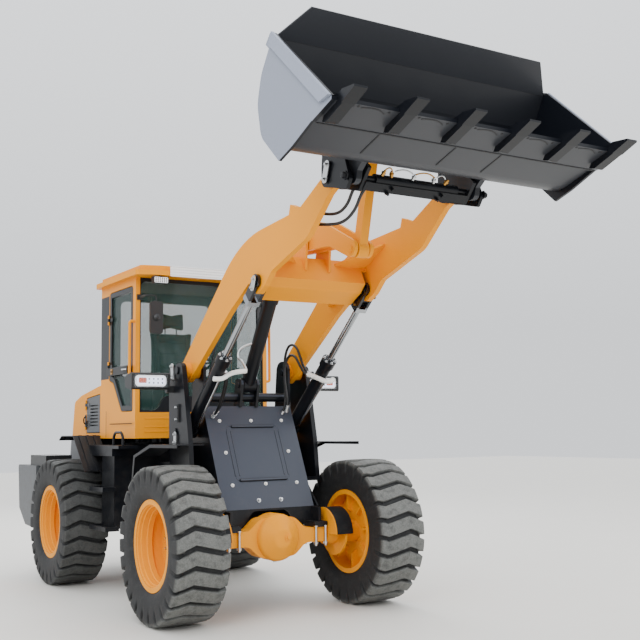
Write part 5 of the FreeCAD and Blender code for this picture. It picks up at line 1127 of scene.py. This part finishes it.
# %% Lock cylinder fittings
BAR_OUT = Vector((0, -0.68, -0.733))
bar_rows = [(at(x, y, z) + BAR_OUT * 0.002, BAR_OUT, 0.020) for x, y, z in (
    (-0.229, -1.961, 2.931), (-0.206, -1.987, 2.955), (0.172, -1.964, 2.934), (0.193, -1.988, 2.956))]
bolts("bar_screws", bar_rows, black_enamel, "bucket", "black_paint", height=1.1, sides=12)
LOCK_AXIS_AT = (-1.985, 3.000)
UNION = [(0, 0.012), (0.014, 0.012), (0.015, 0.017), (0.027, 0.017), (0.028, 0.010), (0.040, 0.010)]
brass_rows, steel_rows = [], []
for x, lean in ((-0.300, 0.3), (-0.225, -0.4), (-0.060, 0.2), (0.110, -0.3), (0.200, 0.5)):
    foot = at(x, LOCK_AXIS_AT[0] - 0.030, LOCK_AXIS_AT[1] + 0.022)
    (brass_rows if x < -0.2 or x > 0.15 else steel_rows).append((foot, (lean, -0.65, 0.75)))
turned_piece("lock_unions_brass", brass_rows, UNION, brass, "bucket", count=6)
turned_piece("lock_unions_steel", steel_rows, UNION, zinc, "bucket", count=6)
for index, (first, second) in enumerate(((-0.300, -0.225), (-0.225, -0.060), (-0.060, 0.110), (0.110, 0.200))):
    lift = 0.052
    row = [at(first + 0.01, LOCK_AXIS_AT[0] - 0.055, LOCK_AXIS_AT[1] + lift),
           at((first + second) / 2, LOCK_AXIS_AT[0] - 0.080, LOCK_AXIS_AT[1] + lift + 0.030),
           at(second - 0.01, LOCK_AXIS_AT[0] - 0.055, LOCK_AXIS_AT[1] + lift)]
    pipe("lock_pipe_%d" % index, row, 0.005, (brass, zinc)[index % 2], "bucket")
print("coupler fittings")

# %% [markdown]
# The axle hangs under the frame on long zinc studs. A boss with its filler plug stands on the casing's
# dome, and a drain plug closes its lowest point.

# %% Axle studs and plugs
STUD = [(0, 0.010), (0.012, 0.010), (0.013, 0.019), (0.030, 0.019), (0.031, 0.011), (0.148, 0.011),
        (0.149, 0.017), (0.160, 0.017)]
stud_rows = [(at(side * x, y, 0.498), (0, 0, 1)) for side in (1, -1) for x in (0.345, 0.435) for y in (-0.083, 0.083)]
turned_piece("axle_studs", stud_rows, STUD, zinc, "front_body", count=12)
PLUG = [(0, 0.034), (0.008, 0.034), (0.010, 0.020), (0.020, 0.019), (0.022, 0.014)]
for end, facing in (("front", -1), ("rear", 1)):
    middle = AXLES[end]
    turned_piece("axle_filler_" + end, [(at(0.045, middle + facing * 0.160, 0.592), (0.1, facing, 0.05))], PLUG,
                 orange_enamel, end + "_body", count=12)
    turned_piece("axle_drain_" + end, [(at(0.0, middle - 0.02, 0.408), (0, 0, -1))],
                 [(0, 0.026), (0.008, 0.026), (0.009, 0.015), (0.016, 0.014)], zinc, end + "_body",
                 count=6)
print("axle studs and plugs")

# %% [markdown]
# The cab: grey trim under the roof, a bare ribbed light bar on the roof's front edge,
# black bars across the doors with their latches, mirror glass and a wiper.

# %% Cab trim
trim_cloth = moulded("headliner_felt", "56595a", 0.9, grain=0.02, strength=0.04)
slab("headliner", rounded(1.150, 0.860, 0.040, centre=(0, 1.765)), at(0, 0, 2.792), (1, 0, 0), (0, 1, 0), 0.010,
     trim_cloth, "rear_body", "black_plastic", soft=0.003)


def ribbed_white():
    """White extruded plastic with flutes along it, 14 mm apart."""
    material, tree, shader = new_material("ribbed_white_plastic")
    place = add(tree, "ShaderNodeTexCoord").outputs["Object"]
    xyz = add(tree, "ShaderNodeSeparateXYZ", Vector=place)
    flutes = maths(tree, "SINE", maths(tree, "MULTIPLY", xyz.outputs[2], 2 * math.pi / 0.024))
    ticks = maths(tree, "SINE", maths(tree, "MULTIPLY", xyz.outputs[0], 2 * math.pi / 0.020))
    dotted = maths(tree, "MULTIPLY", ramp(tree, flutes, 0.55, 0.75), ramp(tree, ticks, -0.2, 0.2))
    tree.links.new(mix(tree, dotted, linear("f1f1ef"), linear("a9abad")), shader.inputs["Base Color"])
    shader.inputs["Roughness"].default_value = 0.4
    bump = add(tree, "ShaderNodeBump", Height=flutes, Strength=0.4, Distance=0.001)
    tree.links.new(bump.outputs[0], shader.inputs["Normal"])
    return material


roof_white = ribbed_white()
slab("roof_light_bar", rounded(0.980, 0.094, 0.010, centre=(0.070, 2.846)), at(0, 1.0995, 0), (1, 0, 0), (0, 0, 1),
     0.009, roof_white, "rear_body", "white_paint", soft=0.003)
mirror_glass = metal("mirror_glass", "dfe5e8", 0.03)
for side, hand in ((1, "left"), (-1, "right")):
    slab("mirror_face_" + hand, rounded(0.100, 0.262, 0.024, steps=6, centre=(-side * 0.530, 2.430)),
         at(0, 1.1655, 0), (-1, 0, 0), (0, 0, 1), 0.003, mirror_glass, "rear_body", "chrome_rod", soft=0.001)
    turned_piece("mirror_swivel_" + hand, [(at(side * 0.530, 1.136, 2.430), (0, -1, 0))],
                 [(0, 0.030), (0.008, 0.030), (0.014, 0.020), (0.020, 0.012)], black_plastic, "rear_body")
    door = "cab_door_" + hand
    outward = ((0, side, 0), (0, 0, 1))
    slab("door_bar_" + hand, rounded(0.590, 0.074, 0.014, centre=(side * 1.690, 1.985)), at(side * 0.679, 0, 0),
         *outward, 0.012, black_plastic, door, "black_plastic", soft=0.003)
    slab("door_latch_" + hand, rounded(0.110, 0.062, 0.010, centre=(side * 1.465, 1.985)), at(side * 0.6912, 0, 0),
         *outward, 0.010, black_enamel, door, "black_paint", soft=0.003)
    slab("door_lock_" + hand, rounded(0.050, 0.050, 0.006, centre=(side * 1.835, 1.985)), at(side * 0.6912, 0, 0),
         *outward, 0.004, brass, door, "worn_steel", soft=0.001)
    turned_piece("door_lock_hole_" + hand, [(at(side * 0.695, 1.835, 1.985), (side, 0, 0))],
                 [(0, 0.009), (0.004, 0.009), (0.005, 0.006)], black_enamel, door, count=12)
    pipe("door_handle_" + hand, [at(side * 0.700, 1.435, 1.985), at(side * 0.722, 1.445, 1.985),
                                 at(side * 0.724, 1.500, 1.985), at(side * 0.702, 1.508, 1.985)],
         0.007, zinc, door)
pipe("wiper_arm", [at(-0.030, 1.318, 1.690), at(-0.020, 1.300, 1.720), at(0.060, 1.300, 1.960),
                   at(0.110, 1.302, 2.180)], 0.006, black_enamel, "rear_body")
slab("wiper_blade", rounded(0.012, 0.460, 0.005), at(0.110, 1.3085, 2.200), (math.cos(0.15), 0, -math.sin(0.15)),
     (math.sin(0.15), 0, math.cos(0.15)), 0.010, hose_rubber, "rear_body", "black_plastic")
turned_piece("wiper_pivot", [(at(-0.030, 1.3105, 1.690), (0, -1, 0))], [(0, 0.024), (0.010, 0.022), (0.016, 0.012)],
             black_enamel, "rear_body")
print("cab trim")

# %% [markdown]
# Pressed lines keep the cab's side panels stiff. Each is a shallow bead, drawn as a thin strip with soft
# edges in the same enamel, with a dark joint where two panels meet.

# %% Panel beads, joints and hood latches
joint_gap = metal("panel_joint", "15120e", 0.7, metallic=0.0)
for side, hand in ((1, "left"), (-1, "right")):
    outward = ((0, side, 0), (0, 0, 1))
    panel_x = side * 0.6788
    bm = bmesh.new()
    add_slab(bm, rounded(0.570, 0.008, 0.003, centre=(side * 1.620, 1.502)), at(panel_x, 0, 0), *outward, 0.0016,
             soft=0)
    add_slab(bm, rounded(0.006, 0.245, 0.002, centre=(side * 2.005, 1.500)), at(panel_x, 0, 0), *outward, 0.0016,
             soft=0)
    finish_mesh("panel_joints_" + hand, bm, joint_gap, "rear_body", smooth=35)
    slab("hood_screen_" + hand, rounded(0.270, 0.290, 0.012, centre=(side * 2.465, 1.610)), at(side * 0.6115, 0, 0),
         *outward, 0.004, black_plastic, "hood_door_" + hand, "black_plastic", soft=0.001)
    slab("hood_latch_" + hand, rounded(0.034, 0.120, 0.012, centre=(side * 2.655, 1.545)), at(side * 0.6585, 0, 0),
         *outward, 0.006, black_plastic, "hood_door_" + hand, "black_plastic", soft=0.002)
    pipe("hood_pull_" + hand, [at(side * 0.664, 2.655, 1.510), at(side * 0.682, 2.655, 1.520),
                               at(side * 0.682, 2.655, 1.575), at(side * 0.664, 2.655, 1.585)],
         0.006, black_enamel, "hood_door_" + hand)
sill_beads = []
for z in (1.545, 1.470, 1.428):
    sill_beads.append(z)
bm = bmesh.new()
for z in sill_beads:
    add_slab(bm, rounded(1.140, 0.012, 0.005, centre=(0, z)), at(0, 1.3098, 0), (1, 0, 0), (0, 0, 1), 0.003,
             soft=0.0014)
finish_mesh("sill_beads", bm, orange_enamel, "rear_body", smooth=50)
print("panel lines")

# %% [markdown]
# The seat is foam under black leathercloth. Its cushions start a little small, are filled by a cloth
# pressure simulation as foam fills a cover, and get their sewn channels afterwards.

# %% Seat cushions
leathercloth = moulded("black_leathercloth", "1a1d1f", 0.55, grain=0.0016, strength=0.25)


def soft_block(name, corners, half, soft):
    """A prism of (y, z) corners across the machine from -half to half, its edges rounded."""
    bm = bmesh.new()
    ends = [[bm.verts.new(at(x, y, z)) for y, z in corners] for x in (-half, half)]
    bm.faces.new(ends[0])
    bm.faces.new(ends[1])
    for index in range(len(corners)):
        following = (index + 1) % len(corners)
        bm.faces.new((ends[0][index], ends[0][following], ends[1][following], ends[1][index]))
    bmesh.ops.recalc_face_normals(bm, faces=bm.faces)
    bmesh.ops.bevel(bm, geom=list(bm.edges), offset=soft, segments=4, affect="EDGES", profile=0.5)
    mesh = bpy.data.meshes.new(name)
    bm.to_mesh(mesh)
    bm.free()
    piece = bpy.data.objects.new(name, mesh)
    bpy.context.collection.objects.link(piece)
    return piece


VOXEL, MOST_SWELL = 0.006, 0.022


def plain(piece, name):
    """The piece with its modifiers applied, as a new object."""
    mesh = bpy.data.meshes.new_from_object(piece.evaluated_get(bpy.context.evaluated_depsgraph_get()))
    bpy.data.objects.remove(piece)
    made = bpy.data.objects.new(name, mesh)
    bpy.context.collection.objects.link(made)
    return made


blocks = [soft_block("seat_block", [(1.622, 1.802), (1.622, 1.888), (2.000, 1.882), (2.000, 1.802)], 0.236, 0.030),
          soft_block("back_block", [(2.008, 1.914), (2.052, 2.405), (2.098, 2.405), (2.084, 1.914)], 0.228, 0.022),
          soft_block("head_block", [(2.050, 2.422), (2.056, 2.588), (2.104, 2.588), (2.100, 2.422)], 0.135, 0.022)]
cushions = []
for block in blocks:
    remesh = block.modifiers.new("voxels", "REMESH")
    remesh.mode = "VOXEL"
    remesh.voxel_size = VOXEL
    cushions.append(plain(block, block.name + "_cushion"))
before = [[vertex.co.copy() for vertex in piece.data.vertices] for piece in cushions]
for piece in cushions:
    cloth = piece.modifiers.new("cloth", "CLOTH")
    cloth.settings.use_pressure = True
    cloth.settings.uniform_pressure_force = 4
    cloth.settings.effector_weights.gravity = 0
    cloth.settings.quality = 5
    cloth.point_cache.frame_end = 20
for frame_number in range(1, 21):
    bpy.context.scene.frame_set(frame_number)
cushions = [plain(piece, piece.name + "_filled") for piece in cushions]
bpy.context.scene.frame_set(1)
for piece, places in zip(cushions, before):
    for vertex, place in zip(piece.data.vertices, places):
        swell = vertex.co - place
        if swell.length > MOST_SWELL:
            vertex.co = place + swell.normalized() * MOST_SWELL

# %% Sewn channels
# cushion, coordinate measured across the channel, where the channels run
channels = [(0, 0, (-0.150, 0.150)), (0, 1, (1.760 + SHIFT_Y, 1.890 + SHIFT_Y)), (1, 0, (-0.145, 0.145)),
            (1, 2, (2.060, 2.180, 2.300))]
CHANNEL_DEPTH, CHANNEL_HALF = 0.010, 0.009
for which, axis, places in channels:
    mesh = cushions[which].data
    normals = [vertex.normal.copy() for vertex in mesh.vertices]
    for vertex, normal in zip(mesh.vertices, normals):
        on_top = normal.z > 0.6 if which == 0 else normal.y < -0.6
        if on_top and (axis == 0 or abs(vertex.co.x) < 0.145):
            depth = sum(math.exp(-((vertex.co[axis] - place) / CHANNEL_HALF) ** 2) for place in places)
            vertex.co -= normal * CHANNEL_DEPTH * depth
bm = bmesh.new()
for piece in cushions:
    bm.from_mesh(piece.data)
    bpy.data.objects.remove(piece)
seat = finish_mesh("seat_cushions", bm, leathercloth, "rear_body", smooth=80)
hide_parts("seat_pads")
pipe("head_rest_post_left", [at(0.060, 2.075, 2.380), at(0.060, 2.078, 2.450)], 0.007, chrome, "rear_body",
     order=2)
pipe("head_rest_post_right", [at(-0.060, 2.075, 2.380), at(-0.060, 2.078, 2.450)], 0.007, chrome, "rear_body",
     order=2)
print("seat", len(seat.data.polygons), "faces")
